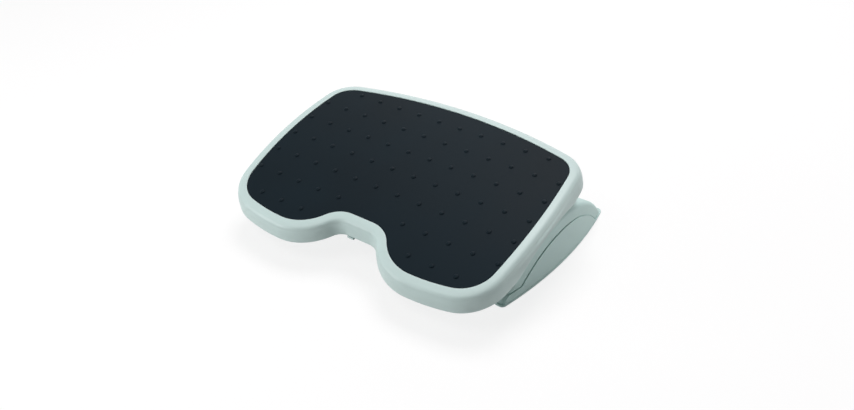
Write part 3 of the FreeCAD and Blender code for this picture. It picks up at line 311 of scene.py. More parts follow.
def surface(name, colour, tones, gloss, clouds, grain=None, stretch=1.0, **shading):
    """A material whose tone and roughness drift with noise, with a fine grain where it has one."""
    material = bpy.data.materials.new(name)
    material.use_nodes = True
    tree = material.node_tree
    place = node(tree, "ShaderNodeTexCoord", out="Object")
    place = node(tree, "ShaderNodeMapping", Vector=place, Scale=(1.0, 1.0, stretch))
    drift = node(tree, "ShaderNodeTexNoise", Vector=place, Scale=clouds[0], Detail=clouds[1])
    low, high = [(*[min(1.0, value * share) for value in colour], 1.0) for share in tones]
    shading["Base Color"] = node(tree, "ShaderNodeMix", {"data_type": "RGBA"}, "Result", Factor=drift, A=low, B=high)
    if grain:
        scale, detail, strength, depth, shines = grain
        fine = node(tree, "ShaderNodeTexNoise", Vector=place, Scale=scale, Detail=detail)
        shading["Normal"] = node(tree, "ShaderNodeBump", Height=fine, Strength=strength, Distance=depth)
        drift = fine if shines else drift
    shading["Roughness"] = node(tree, "ShaderNodeMapRange", Value=drift, To_Min=gloss[0], To_Max=gloss[1])
    for label, value in shading.items():
        plug(tree.nodes["Principled BSDF"].inputs[label], value)
    return material


def moulded_plastic(name, colour, roughness=0.42, grain=0.00012, grain_scale=1400.0, mottle=0.05):
    """Injection-moulded plastic with a fine spark-eroded grain and a faint drift in its tone."""
    return surface(name, colour, (1 - mottle, 1 + mottle), (roughness - 0.05, roughness + 0.07), (9.0, 3.0),
                   (grain_scale, 2.0, 0.35, grain, True))


def settle(piece, material, body, slot, *stands_for):
    """Gives a piece its place, its finish, its body and the CAD nodes that it stands for."""
    piece.data.transform(BODY_PLACES[body])
    piece.data.materials.clear()
    piece.data.materials.append(material)
    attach(piece, body)
    if stands_for:
        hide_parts(*stands_for)


base_plastic = moulded_plastic("base_plastic", (0.515, 0.700, 0.670), roughness=0.46)
settle(hood, base_plastic, "base", "base_plastic", "base_hood")


# Base pan: the floor plate that closes the hood from below, moulded in the same plastic. Its edge
# shows as a thin lip under the covers. A fence and five ribs stiffen it, six screws go up through
# it into the hood's posts, and pockets in its underside hold the feet.
PAN_LOW = 0.0015
PAN_TOP = 0.005
PAN_LIP = 0.0025
PAN_PROUD = 0.0002
PAN_CORNER = 0.007
PAN_ROOT = PAN_TOP - 0.0005
FENCE_TOP = 0.011
SCREW_SEAT = ((-0.001, 0.0044), (PAN_LOW, 0.0044), (PAN_LOW + 0.0004, 0.0040), (PAN_LOW + 0.0015, 0.0040),
              (PAN_LOW + 0.0016, 0.00185), (0.02, 0.00185))
FEET = {"front_left_foot": (-0.192, -0.112), "front_right_foot": (0.192, -0.112),
        "rear_left_foot": (-0.185, 0.118), "rear_right_foot": (0.185, 0.118)}
FOOT_LONG = 0.030
FOOT_WIDE = 0.018
FOOT_CORNER = 0.004
FOOT_HEIGHT = 0.0034


def pan_outline(z, inset):
    """The plate seen from above, drawn in by an inset."""
    bulge = BULGE + PAN_PROUD - inset - z * DRAFT
    front = inset - math.sqrt(ARCH_RADIUS**2 - ARC_DROP**2)
    corner = PAN_CORNER - inset
    leans = [math.asin((y - BULGE_MIDDLE) / (bulge - corner)) for y in (front + corner, PAN_LIP - front - corner)]
    (x, y), (rear_x, rear_y) = arc(BULGE_CENTRE, BULGE_MIDDLE, bulge - corner, *leans, 1)
    return both_sides(arc(x, y, corner, -math.pi / 2, leans[0], 7)
                      + arc(BULGE_CENTRE, BULGE_MIDDLE, bulge, *leans, 28)[1:-1]
                      + arc(rear_x, rear_y, corner, leans[1], math.pi / 2, 7))


def foot_outline(x, y, spare):
    """A pad's long rectangle with rounded corners, seen from above."""
    points, long, wide = [], FOOT_LONG / 2 + spare - FOOT_CORNER, FOOT_WIDE / 2 + spare - FOOT_CORNER
    for quarter, (side, end) in enumerate(((1, 1), (-1, 1), (-1, -1), (1, -1))):
        points += arc(x + side * long, y + end * wide, FOOT_CORNER, math.pi / 2 * quarter,
                      math.pi / 2 * (quarter + 1), 5)
    return points


def stack(levels):
    """A closed solid through outlines at rising heights."""
    return loft([[(x, y, z) for x, y in outline] for z, outline in levels])


pan = new_piece("pan_plate", stack([(z, pan_outline(z, inset)) for z, inset in (
    (PAN_LOW, 0.0004), (PAN_LOW + 0.0004, 0.0), (PAN_TOP - 0.0003, 0.0), (PAN_TOP, 0.0003))]))
carve(pan, fascia_bar(0.0))
walls = new_piece("walls", arched_solid(0.0082, ARCH_RADIUS - 0.004))
carve(walls, fascia_bar(0.004), prism(WIDE_PLAN, -0.2, PAN_ROOT), prism(WIDE_PLAN, FENCE_TOP, 0.2),
      carved_mesh(arched_solid(0.0104, ARCH_RADIUS - 0.007), fascia_bar(0.0064)))
carve(walls, *[prism(oblong(x - RIB_HALF, -0.108, x + RIB_HALF, 0.126), PAN_ROOT, PAN_TOP + 0.0075)
               for x in (-0.150, -0.075, 0.0, 0.075, 0.150)], operation="UNION")
carve(walls, *[prism(round_plan(POST_RADIUS + 0.0005, x, y), PAN_TOP - 0.001, PAN_TOP + 0.02) for x, y in POSTS])
carve(pan, bare_mesh(walls), operation="UNION")
carve(pan, *[stack([(z, round_plan(radius, x, y, 32)) for z, radius in SCREW_SEAT]) for x, y in POSTS])
carve(pan, *[prism(foot_outline(x, y, 0.0002), -0.001, FOOT_HEIGHT) for x, y in FEET.values()])
settle(pan, base_plastic, "base", "base_plastic", "base_pan")


# Feet: four die-cut pads of black rubber, pressed and glued into the pan's pockets. Each stands
# proud of the pan, with a soft edge and three shallow grooves across its sole.
PAD_SIDE = ((0.0, -0.0007), (0.0002, -0.0002), (0.0007, 0.0), (FOOT_HEIGHT, 0.0))
PAD_GROOVE = ((-0.001, 0.0010), (0.0, 0.0008), (0.0006, 0.0004))


def rubber(name, colour, roughness=0.55, cloud=0.35, shine=0.3):
    """Moulded rubber: nearly black, with a fine matt grain and cloudy wiped patches."""
    return surface(name, colour, (1 - cloud, 1 + cloud), (roughness - 0.06, roughness + 0.10), (7.0, 2.0),
                   (900.0, 3.0, 0.5, 0.0001, False), **{"Specular IOR Level": shine})


foot_rubber = rubber("foot_rubber", (0.018, 0.018, 0.020), roughness=0.7, cloud=0.15)
for name, (x, y) in FEET.items():
    foot = new_piece(name + "_pad", stack([(z, foot_outline(x, y, spare)) for z, spare in PAD_SIDE]))
    for middle in (x - 0.0075, x, x + 0.0075):
        carve(foot, stack([(z, oblong(middle - half, y - 0.012, middle + half, y + 0.012)) for z, half in PAD_GROOVE]))
    settle(foot, foot_rubber, "base", "foot_rubber", name)


# Pan screws: six zinc-plated pan-head screws with cross recesses, driven up through the pan into
# the hood's posts. Each has a domed head, a shank and a rolled thread.
SCREW = {"Head radius": 0.0036, "Head height": 0.0022, "Core radius": 0.00145, "Pitch": 0.0009,
         "Shank length": 0.012}
UPSIDE_DOWN = (math.pi, 0.0, 0.0)
UNION = {"operation": "UNION", "solver": "EXACT"}
LESS = {"operation": "DIFFERENCE", "solver": "EXACT"}


class Size:
    """A size in a Geometry Nodes tree, for sums in the usual signs."""

    def __init__(self, socket):
        self.socket = socket

    def sum(self, operation, first, second):
        """The result of one sum of sizes or numbers."""
        made = self.socket.id_data.nodes.new("ShaderNodeMath")
        made.operation = operation
        plug(made.inputs[0], first)
        plug(made.inputs[1], second)
        return Size(made.outputs[0])

    def __add__(self, other):
        return self.sum("ADD", self, other)

    def __sub__(self, other):
        return self.sum("SUBTRACT", self, other)

    def __rsub__(self, other):
        return self.sum("SUBTRACT", other, self)

    def __mul__(self, other):
        return self.sum("MULTIPLY", self, other)

    def __truediv__(self, other):
        return self.sum("DIVIDE", self, other)


def moved(tree, shape, height):
    """A shape raised by a height."""
    rise = node(tree, "ShaderNodeCombineXYZ", Z=height)
    return node(tree, "GeometryNodeTransform", Geometry=shape, Translation=rise)


def round_bar(tree, radius, height, sides, base):
    """A round or few-sided bar that stands on a height."""
    return moved(tree, node(tree, "GeometryNodeMeshCone", {"fill_type": "NGON"}, Vertices=sides, Radius_Top=radius,
                            Radius_Bottom=radius, Depth=height), base)


def copies_tree(name, shape, material, sizes):
    """A Geometry Nodes tree that puts a shape on every point, turned as the point says."""
    tree = bpy.data.node_groups.new(name, "GeometryNodeTree")
    for label, way in (("Points", "INPUT"), ("Mesh", "OUTPUT")):
        tree.interface.new_socket(label, in_out=way, socket_type="NodeSocketGeometry")
    for label, value in sizes.items():
        socket = tree.interface.new_socket(label, in_out="INPUT", socket_type="NodeSocketFloat")
        socket.default_value = value
    source = tree.nodes.new("NodeGroupInput").outputs
    end = tree.nodes.new("NodeGroupOutput").inputs["Mesh"]
    one = shape(tree, {label: Size(source[label]) for label in sizes})
    turn = node(tree, "GeometryNodeInputNamedAttribute", {"data_type": "FLOAT_VECTOR"}, "Attribute", Name="turn")
    copies = node(tree, "GeometryNodeInstanceOnPoints", Points=source["Points"], Instance=one, Rotation=turn)
    real = node(tree, "GeometryNodeRealizeInstances", Geometry=copies)
    smooth = node(tree, "GeometryNodeSetShadeSmooth", Geometry=real)
    plug(end, node(tree, "GeometryNodeSetMaterial", Geometry=smooth, Material=material))
    return tree


def cross_screw(tree, size):
    """A pan-head screw with a cross recess: its seat is at the point, its head above."""
    radius, height, core, pitch, shank = [size[label] for label in SCREW]
    edge = height * 0.4
    ball = node(tree, "GeometryNodeMeshUVSphere", Segments=28, Rings=14, Radius=1.0)
    spread = node(tree, "ShaderNodeCombineXYZ", X=radius, Y=radius, Z=height - edge)
    dome = moved(tree, node(tree, "GeometryNodeTransform", Geometry=ball, Scale=spread), edge)
    head = node(tree, "GeometryNodeMeshBoolean", UNION, Mesh_2=[round_bar(tree, radius, edge, 28, 0.0), dome])
    bars = []
    for x, y in ((0.26, 1.05), (1.05, 0.26)):
        block = node(tree, "ShaderNodeCombineXYZ", X=radius * x, Y=radius * y, Z=height)
        bars.append(moved(tree, node(tree, "GeometryNodeMeshCube", Size=block), height))
    head = node(tree, "GeometryNodeMeshBoolean", LESS, Mesh_1=head, Mesh_2=bars)
    threaded = shank - 0.0012
    coil = node(tree, "GeometryNodeCurveSpiral", Resolution=18, Rotations=threaded / pitch,
                Start_Radius=core, End_Radius=core, Height=threaded)
    ridge = node(tree, "GeometryNodeCurvePrimitiveCircle", {"mode": "RADIUS"}, Resolution=4, Radius=pitch * 0.34)
    thread = node(tree, "GeometryNodeCurveToMesh", Curve=coil, Profile_Curve=ridge, Fill_Caps=True)
    parts = [moved(tree, thread, shank * -1.0 + 0.0003), round_bar(tree, core, shank, 20, shank * -1.0), head]
    return node(tree, "GeometryNodeJoinGeometry", Geometry=parts)


def grown_field(name, places, turns, tree, sizes, body, slot, *stands_for):
    """Runs a Geometry Nodes tree on a cloud of points and keeps the result as a plain mesh."""
    cloud = bpy.data.meshes.new(name + "_points")
    cloud.from_pydata(places, [], [])
    turn = cloud.attributes.new("turn", "FLOAT_VECTOR", "POINT")
    for index in range(len(places)):
        turn.data[index].vector = turns[index % len(turns)]
    piece = in_scene(name, cloud)
    modifier = piece.modifiers.new("grow", "NODES")
    modifier.node_group = tree
    for item in tree.interface.items_tree:
        if item.name in sizes:
            modifier[item.identifier] = sizes[item.name]
    grown = bpy.data.meshes.new_from_object(piece.evaluated_get(bpy.context.evaluated_depsgraph_get()))
    piece.modifiers.remove(modifier)
    piece.data = grown
    grown.name = name
    grown.set_sharp_from_angle(angle=math.radians(40.0))
    settle(piece, grown.materials[-1], body, slot, *stands_for)


def plated_steel(name, colour, roughness=0.3):
    """Bright plated or turned steel with fine drawing lines."""
    return surface(name, colour, (0.85, 1.1), (roughness - 0.08, roughness + 0.12), (500.0, 2.0), stretch=12.0,
                   Metallic=1.0)


zinc = plated_steel("zinc", (0.62, 0.62, 0.60))
screw = copies_tree("cross_recess_screw", cross_screw, zinc, SCREW)
grown_field("pan_screw_set", [(x, y, PAN_LOW + 0.0015) for x, y in POSTS], [UPSIDE_DOWN], screw, SCREW, "base",
            "screw_steel", "pan_screws")


# Side covers: a D-shaped panel with a low forward toe snaps into a recess in each cheek. Both are
# moulded in the hood's plastic and follow its bulge, and a fine shadow gap runs round them.
COVER_ARC_STEPS = 40
COVER_EDGE = ((0.0, COVER_THICK), (0.0, 0.0004), (0.0001, 0.00015), (0.00035, 0.0), (0.0011, 0.0))
SIDES = ((-1, "left"), (1, "right"))


def rounded(points, fillets, steps=5):
    """An outline with some of its corners rounded, each by its own radius."""
    done = []
    for index, point in enumerate(points):
        radius = fillets.get(index)
        if radius is None:
            done.append(point)
            continue
        here, before, after = Vector(point), Vector(points[index - 1]), Vector(points[(index + 1) % len(points)])
        into, out = (before - here).normalized(), (after - here).normalized()
        half = into.angle(out) / 2
        middle = here + (into + out).normalized() * radius / math.sin(half)
        start, end = [here + way * radius / math.tan(half) - middle for way in (into, out)]
        sweep = start.angle(end)
        for share in evenly(0.0, 1.0, steps):
            spoke = (start * math.sin((1 - share) * sweep) + end * math.sin(share * sweep)) / math.sin(sweep)
            done.append(tuple(middle + spoke))
    return done


def drawn_in(points, inset):
    """An outline moved inwards, along the normals at its points."""
    done = []
    after = points[1:] + points[:1]
    area = sum(x * next_y - next_x * y for (x, y), (next_x, next_y) in zip(points, after))
    side = 1.0 if area > 0 else -1.0
    for here, before, behind in zip(map(Vector, points), map(Vector, points[-1:] + points), map(Vector, after)):
        into, out = (here - before).normalized(), (behind - here).normalized()
        normal = Vector((-(into.y + out.y), into.x + out.x)).normalized() * side
        stretch = max(0.4, normal.dot(Vector((-into.y, into.x)) * side))
        done.append(tuple(here + normal * inset / stretch))
    return done


def sliced(mesh, axis, step, reach):
    """Cuts every face of a mesh along evenly spaced planes, so that it can be bent."""
    for count in range(-int(reach / step), int(reach / step) + 1):
        normal, place = Vector(), Vector()
        normal[axis], place[axis] = 1.0, count * step
        everything = mesh.verts[:] + mesh.edges[:] + mesh.faces[:]
        bmesh.ops.bisect_plane(mesh, geom=everything, dist=1e-7, plane_co=place, plane_no=normal)


def cover_panel(side):
    """A cover, built flat from its edge inwards, then bent to the cheek."""
    outline = cover_outline(SEAM_GAP, COVER_ARC_STEPS)[2:]
    for level in (COVER_LOW, LEDGE - SEAM_GAP):
        outline.append((-math.sqrt(ARCH_RADIUS**2 - (level + ARC_DROP) ** 2), level))
    last = len(outline) - 1
    outline = rounded(outline, {0: 0.0020, COVER_ARC_STEPS: 0.0016, last - 1: 0.0012, last: 0.0022})
    mesh = loft([[(depth, y, z) for y, z in drawn_in(outline, inset)] for inset, depth in COVER_EDGE])
    sliced(mesh, 1, 0.005, 0.15)
    sliced(mesh, 2, 0.005, 0.07)
    for vertex in mesh.verts:
        depth, y, z = vertex.co
        vertex.co.x = side * cheek_reach(y, z, depth)
    bmesh.ops.recalc_face_normals(mesh, faces=mesh.faces[:])
    return mesh


cover_plastic = moulded_plastic("cover_plastic", (0.515, 0.700, 0.670), roughness=0.44)
for side, hand in SIDES:
    cover = new_piece(hand + "_side_cover_panel", cover_panel(side))
    settle(cover, cover_plastic, "base", "cover_plastic", hand + "_side_cover")


# Glide strips: two thin strips of white slippery plastic bonded along the arch, on which the
# platform's runners slide. Each is slotted over the hood's guide slots.
GLIDE_THICK = 0.0015
GLIDE_HALF = 0.0135
GLIDE_FRONT = math.radians(-45.0)
GLIDE_REAR = math.radians(31.0)


def arc_strip(place, half, low, high, start, end, edge, steps=60):
    """A strip bent round the axis, with its top edges and ends chamfered."""
    lead = edge / high
    stations = [start, start + lead, *evenly(start, end, steps)[1:-1], end - lead, end]
    sections = []
    for turn in stations:
        less = edge if turn in (start, end) else 0.0
        top, wide = high - less, half - less
        corners = both_sides([(-wide, low), (-wide, top - edge), (-wide + edge, top)])
        sections.append([(place + x, *on_arch(radius, turn)) for x, radius in corners])
    return loft(sections)


slide_plastic = moulded_plastic("slide_plastic", (0.72, 0.72, 0.68), roughness=0.3, mottle=0.02)
for side, hand in SIDES:
    strip = new_piece(hand + "_glide_strip_liner", arc_strip(
        side * RUNNER_PLACE, GLIDE_HALF, ARCH_RADIUS, ARCH_RADIUS + GLIDE_THICK, GLIDE_FRONT, GLIDE_REAR, 0.0004))
    carve(strip, *[tool for place, tool in guide_slots() if place * side > 0])
    settle(strip, slide_plastic, "base", "slide_plastic", hand + "_glide_strip")


# Brake track: a strip of hard black rubber bonded to the middle of the arch. Shallow grooves cross
# it every few degrees, so that the lever's brake lining cannot slip.
LEVER_PLACE = -0.016
TRACK_HALF = 0.015
TRACK_THICK = 0.002
TRACK_FRONT = -43.0
TRACK_REAR = 2.0
TRACK_EDGE = 0.0004
GROOVE_STEP = 3.0
GROOVE_COUNT = 14
GROOVE_HALF_DEG = math.degrees(0.0008 / ARCH_RADIUS)
GROOVE_DEEP = 0.0007


def track_mesh():
    """The track as a grid of rows along the arc, let down at each groove and at both ends."""
    rows = [(TRACK_FRONT, TRACK_EDGE, 0.0), (TRACK_FRONT + 0.13, 0.0, 0.0)]
    for count in range(1, GROOVE_COUNT + 1):
        middle = TRACK_FRONT + GROOVE_STEP * count
        for shift, deep in ((-GROOVE_HALF_DEG - 0.06, 0.0), (-GROOVE_HALF_DEG, GROOVE_DEEP),
                            (GROOVE_HALF_DEG, GROOVE_DEEP), (GROOVE_HALF_DEG + 0.06, 0.0)):
            rows.append((middle + shift, 0.0, deep))
    rows += [(TRACK_REAR - 0.13, 0.0, 0.0), (TRACK_REAR, TRACK_EDGE, 0.0)]
    sections = []
    for degrees, less, deep in rows:
        top = ARCH_RADIUS + TRACK_THICK - less
        corners = both_sides([(-TRACK_HALF, ARCH_RADIUS), (-TRACK_HALF, top - TRACK_EDGE),
                              (-TRACK_HALF + TRACK_EDGE, top), (-0.0121, top), (-0.0120, top - deep)])
        sections.append([(LEVER_PLACE + x, *on_arch(radius, math.radians(degrees))) for x, radius in corners])
    return loft(sections)


brake_rubber = rubber("brake_rubber", (0.025, 0.025, 0.026), roughness=0.75, cloud=0.2)
track = new_piece("brake_track_strip", track_mesh(), smooth_below=25.0)
settle(track, brake_rubber, "base", "brake_rubber", "brake_track")


# Tray shell: the platform's light grey injection moulding. Its rim rolls over to a soft crease and
# a flared outer wall, its front is cut out for the toes, its lower edge arches up at the sides,
# and crossed ribs stiffen its deck from below.
CROWN_TOP = 0.219
CROWN_RADIUS = 1.342
MAT_MIDDLE = 0.029
NOTCH_LINE = 0.0955
NOTCH_FLAT = 0.0183
OUTLINE_ARCS = (
    ("notch", 0.044, -53.8, -1),
    ("flank", 0.0018, 0.0, 0),
    ("lobe", 0.069, 53.8, 1),
    ("front", 0.295, 12.1, 1),
    ("front corner", 0.0485, 70.6, 1),
    ("side", 0.754, 14.8, 1),
    ("rear corner", 0.0364, 68.1, 1),
)
OUTLINE_STEP = 0.0035
RIM_DEPTH = 0.026
RIM_ARCH_DEPTH = 0.012
RIM_ARCH_RADIUS = 0.179
RIM_BLEND = 0.003
RIM_CREASE = 0.0052
RIM_FOOT = 0.0014
RIM_BAND = ((0.30, -3.0), (0.30, 0.0), (0.45, 0.45), (0.90, 0.68), (1.60, 0.70), (4.0, 0.64), (7.0, 0.42),
            (9.5, 0.0), (11.3, -0.65), (12.7, -1.55), (13.7, -2.55), (14.35, -3.5), (14.75, -4.4), (14.95, -5.2))
RIM_FLARE = ((15.15, -5.85), (15.5, -6.6), (15.95, -7.5), (16.45, -8.8), (16.95, -10.8), (17.4, -13.4),
             (17.8, -16.7), (18.15, -20.6), (18.45, -24.6))
RIM_HEM = ((18.4, -25.2), (18.1, -25.7), (17.6, -26.0), (15.9, -26.0), (15.4, -25.6))
RIM_INSIDE = ((14.95, -18.2), (14.85, -13.0), (13.7, -8.2), (12.8, -6.9), (11.8, -6.2), (10.8, -6.0))
DECK_UNDER = 0.006
RIB_REACH = 0.01495
RIB_DEPTH = 0.018
LANE_HALF = 0.017
LEVER_LANE_END = 0.02
SLICE = 0.006
MAT_THICK = 0.003
RUNNER_SCREWS = (-0.086, -0.042, 0.026, 0.072)


def outline_ring(offset):
    """Plan of the platform's edge grown by an offset, as points round both sides."""
    heading = 0.0
    half = [(0.0, -NOTCH_LINE - offset)]

    def run(length):
        x, y = half[-1]
        for part in evenly(0.0, length, max(1, round(length / OUTLINE_STEP)))[1:]:
            half.append((x + part * math.cos(heading), y + part * math.sin(heading)))

    def bend(radius, degrees, count):
        nonlocal heading
        (x, y), start, radius = half[-1], heading, math.copysign(radius, degrees)
        for heading in evenly(start, start + math.radians(degrees), count)[1:]:
            half.append((x + radius * (math.sin(heading) - math.sin(start)),
                         y - radius * (math.cos(heading) - math.cos(start))))

    run(NOTCH_FLAT)
    for _, radius, degrees, grows in OUTLINE_ARCS:
        if degrees:
            count = max(4, round(radius * math.radians(abs(degrees)) / OUTLINE_STEP))
            bend(radius + grows * offset, degrees, count)
        else:
            run(radius)
    bend(half[-1][0] / math.sin(math.pi - heading), 180.0 - math.degrees(heading), 56)
    half[-1] = (0.0, half[-1][1])
    return half + [(-x, y) for x, y in half[-2:0:-1]]


def crown_drop(y):
    """How far the crown falls below its middle at a distance in front or behind."""
    return CROWN_RADIUS - math.sqrt(CROWN_RADIUS**2 - y**2)


def rim_reach_down(y):
    """Depth of the rim's lower edge below the crown, shallower along the arch at each side."""
    beside = min(abs(y), RIM_ARCH_RADIUS * 0.99)
    arch = RIM_ARCH_DEPTH + RIM_ARCH_RADIUS - math.sqrt(RIM_ARCH_RADIUS**2 - beside**2) - crown_drop(y)
    nearness = max(RIM_BLEND - abs(arch - RIM_DEPTH), 0.0) / RIM_BLEND
    return min(arch, RIM_DEPTH) - nearness**2 * RIM_BLEND / 4


def sweep_rings(profile):
    """A solid with one ring round the outline for each (offset, height) of a profile, and its rings."""
    mesh = bmesh.new()
    rings = [[mesh.verts.new((x, y, height)) for x, y in outline_ring(offset)] for offset, height in profile]
    skin(mesh, rings[::-1])
    return mesh, rings


def bend_to_crown(mesh):
    """Slices a flat-built mesh across and lowers it in front and behind onto the crown."""
    sliced(mesh, 1, SLICE, 0.2)
    for vertex in mesh.verts:
        vertex.co.z += CROWN_TOP - crown_drop(vertex.co.y)
        vertex.co.y -= MAT_MIDDLE
    bmesh.ops.recalc_face_normals(mesh, faces=mesh.faces[:])


def ring_spans(ring, axis, value):
    """Where a straight line across the plan is inside the ring, as (start, end) pairs."""
    hits = []
    for point, after in zip(ring, ring[1:] + ring[:1]):
        low, high = point[axis] - value, after[axis] - value
        if (low > 0) != (high > 0):
            hits.append(point[1 - axis] + low / (low - high) * (after[1 - axis] - point[1 - axis]))
    hits.sort()
    return list(zip(hits[::2], hits[1::2]))


def rib_spans(axis, value):
    """Where a rib of full thickness stays inside the rim's wall."""
    sides = [ring_spans(outline_ring(RIB_REACH), axis, value + shift) for shift in (-RIB_HALF, RIB_HALF)]
    return [(max(near[0], far[0]), min(near[1], far[1])) for near, far in zip(*sides)]


def add_rib(mesh, left, front, right, rear):
    """A rib's closed upright block under the deck."""
    corners = ((left, right), (front, rear), (-RIB_DEPTH, -DECK_UNDER + 0.0003))
    for vertex in bmesh.ops.create_cube(mesh, size=1.0)["verts"]:
        vertex.co = Vector(pair[value > 0] for pair, value in zip(corners, vertex.co))


def without_lane(spans, middle):
    """The spans with the lane of a runner or the lever taken out of them."""
    kept = []
    for start, end in spans:
        kept += [(start, min(end, middle - LANE_HALF)), (max(start, middle + LANE_HALF), end)]
    return [(start, end) for start, end in kept if end - start > 0.004]


def turned_bars(*bars, sides=20):
    """Bars turned about straight lines, in one mesh. Each is a list of points and radii."""
    solids = []
    for bar in bars:
        turn = (Vector(bar[-1][0]) - Vector(bar[0][0])).to_track_quat("Z", "Y").to_matrix()
        solids.append([[Vector(point) + turn @ Vector((x, y, 0.0)) for x, y in round_plan(radius, 0.0, 0.0, sides)]
                       for point, radius in bar])
    return loft(*solids)


def runner_screw_seats(x):
    """Where the screws down one runner bear, under their sunk heads."""
    return [(x, y, CROWN_TOP - MAT_THICK - 0.0025 - crown_drop(y + MAT_MIDDLE)) for y in RUNNER_SCREWS]


tray_mesh, tray_rings = sweep_rings([(offset / 1000, height / 1000) for offset, height in
                                     (*RIM_BAND, *RIM_FLARE, *RIM_HEM, *RIM_INSIDE)])
for vertex in sum(tray_rings[len(RIM_BAND):-1], []):
    depth = rim_reach_down(vertex.co.y)
    if vertex.co.z < RIM_FOOT - RIM_DEPTH:
        vertex.co.z += RIM_DEPTH - depth
    else:
        share = (-RIM_CREASE - vertex.co.z) / (RIM_DEPTH - RIM_FOOT - RIM_CREASE)
        vertex.co.z = -RIM_CREASE - share * (depth - RIM_FOOT - RIM_CREASE)
for x in (-0.190, -0.158, -0.072, 0.072, 0.158, 0.190):
    for start, end in rib_spans(0, x):
        add_rib(tray_mesh, x - RIB_HALF, start, x + RIB_HALF, end)
for y in (-0.063, -0.006, 0.069, 0.141):
    spans = rib_spans(1, y)
    for middle in (-RUNNER_PLACE, RUNNER_PLACE, *([LEVER_PLACE] if y < LEVER_LANE_END else [])):
        spans = without_lane(spans, middle)
    for start, end in spans:
        add_rib(tray_mesh, start, y - RIB_HALF, end, y + RIB_HALF)
sliced(tray_mesh, 1, SLICE, 0.2)
for vertex in tray_mesh.verts:
    if abs(vertex.co.z + RIB_DEPTH) < 1e-6:
        vertex.co.z = -min(RIB_DEPTH, rim_reach_down(vertex.co.y))
bend_to_crown(tray_mesh)
tray = new_piece("tray_moulding", tray_mesh)
seats = [seat for side, _ in SIDES for seat in runner_screw_seats(side * RUNNER_PLACE)]
carve(tray, turned_bars(*[[((x, y, z - 0.005), 0.00185), ((x, y, z), 0.00185), ((x, y, z), 0.004),
                           ((x, y, z + 0.004), 0.004)] for x, y, z in seats]))
rim_plastic = moulded_plastic("rim_plastic", (0.530, 0.662, 0.642))
settle(tray, rim_plastic, "platform", "rim_plastic", "tray_shell")


# Tread mat: one sheet of dark rubber let into the tray, with rows of low round nubs moulded on
# its face for the shoes to grip. The front rows are broken by the toe notch.
MAT_EDGE = 0.0008
NUB_PITCH = 0.0375
NUB_ROW_PITCH = 0.040
NUB_MIDDLE = 5.5
NUB_ROWS = {3: range(1, 11), 2: range(12), 1: range(12), 0: range(12), -1: range(12),
            -2: (0, 1, 2, 3, 4, 7, 8, 9, 10, 11), -3: (1, 2, 3, 8, 9, 10)}
NUB = {"Nub radius": 0.0036, "Nub rise": 0.0017}
AS_BUILT = (0.0, 0.0, 0.0)
mat_mesh, _ = sweep_rings([(0.0, -MAT_THICK + 0.0001), (0.0, -MAT_EDGE), (-MAT_EDGE * 0.3, -MAT_EDGE * 0.3),
                           (-MAT_EDGE, 0.0), (-0.002, 0.0)])
bend_to_crown(mat_mesh)
mat = new_piece("mat_sheet", mat_mesh)
mat_rubber = rubber("mat_rubber", (0.0045, 0.0105, 0.0150), roughness=0.5, shine=0.06)
settle(mat, mat_rubber, "platform", "mat_rubber", "tread_mat")


def nub_dome(tree, size):
    """A flattened dome, half sunk in the sheet."""
    ball = node(tree, "GeometryNodeMeshUVSphere", Segments=20, Rings=12, Radius=1.0)
    spread = node(tree, "ShaderNodeCombineXYZ", X=size["Nub radius"], Y=size["Nub radius"], Z=size["Nub rise"])
    return node(tree, "GeometryNodeTransform", Geometry=ball, Scale=spread)


nub_places = [((column - NUB_MIDDLE) * NUB_PITCH, row * NUB_ROW_PITCH - MAT_MIDDLE,
               CROWN_TOP - crown_drop(row * NUB_ROW_PITCH)) for row, columns in NUB_ROWS.items() for column in columns]
grown_field("mat_nubs", nub_places, [AS_BUILT], copies_tree("nub_field", nub_dome, mat_rubber, NUB), NUB, "platform",
            "mat_rubber")


# Runners: two black rails under the deck, moulded as an I-section whose foot follows the arch.
# Solid bosses take the guide bolts, thin ribs stiffen the web, and screws hold each from above.
RUNNING_GAP = 0.0003
RUNNER_HALF = 0.012
RUNNER_WEB = 0.0025
RUNNER_FOOT = ARCH_RADIUS + GLIDE_THICK + RUNNING_GAP
FOOT_THICK = 0.0045
HEAD_THICK = 0.004
RUNNER_ENDS = ((math.radians(-24.0), 0.0), (math.radians(28.0), 0.0))
RUNNER_RIBS = ((-23.0, 0.0015), (-17.0, 0.007), (3.0, 0.0015), (20.0, 0.007), (27.0, 0.0015))
DECK_LOW = CROWN_TOP - DECK_UNDER
BOLT_SHANK = 0.0037
SHARP_EDGE = math.radians(38)


def deck_line(y, below=0.0):
    """Height of the deck's underside over the axis, less a depth."""
    return DECK_LOW - crown_drop(y + MAT_MIDDLE) - below


def off_axis(turn, radius, aside=0.0):
    """A point at an angle and a radius, moved square to its spoke."""
    return (radius * math.sin(turn) + aside * math.cos(turn), radius * math.cos(turn) - aside * math.sin(turn))


def under_deck(near, far, foot, below, steps):
    """Side view of the space between an arc and the deck, from one spoke to another."""
    corners, angles = [], []
    for turn, aside in (near, far):
        radius = DECK_LOW
        for _ in range(6):
            y, z = off_axis(turn, radius, aside)
            radius += deck_line(y, below) - z
        corners.append(off_axis(turn, radius, aside)[0])
        angles.append(turn + math.asin(aside / foot))
    return ([off_axis(turn, foot) for turn in evenly(*angles, steps)]
            + [(y, deck_line(y, below)) for y in evenly(*corners[::-1], steps)])


def rod(foot, head, radius):
    """The two stations of a plain round bar."""
    return [(foot, radius), (head, radius)]


def broken_edges(piece, width, segments=2):
    """The small rounding that a moulded or pressed edge has."""
    bevel = piece.modifiers.new("broken_edges", "BEVEL")
    bevel.width, bevel.segments = width, segments
    bevel.limit_method, bevel.angle_limit = "ANGLE", SHARP_EDGE


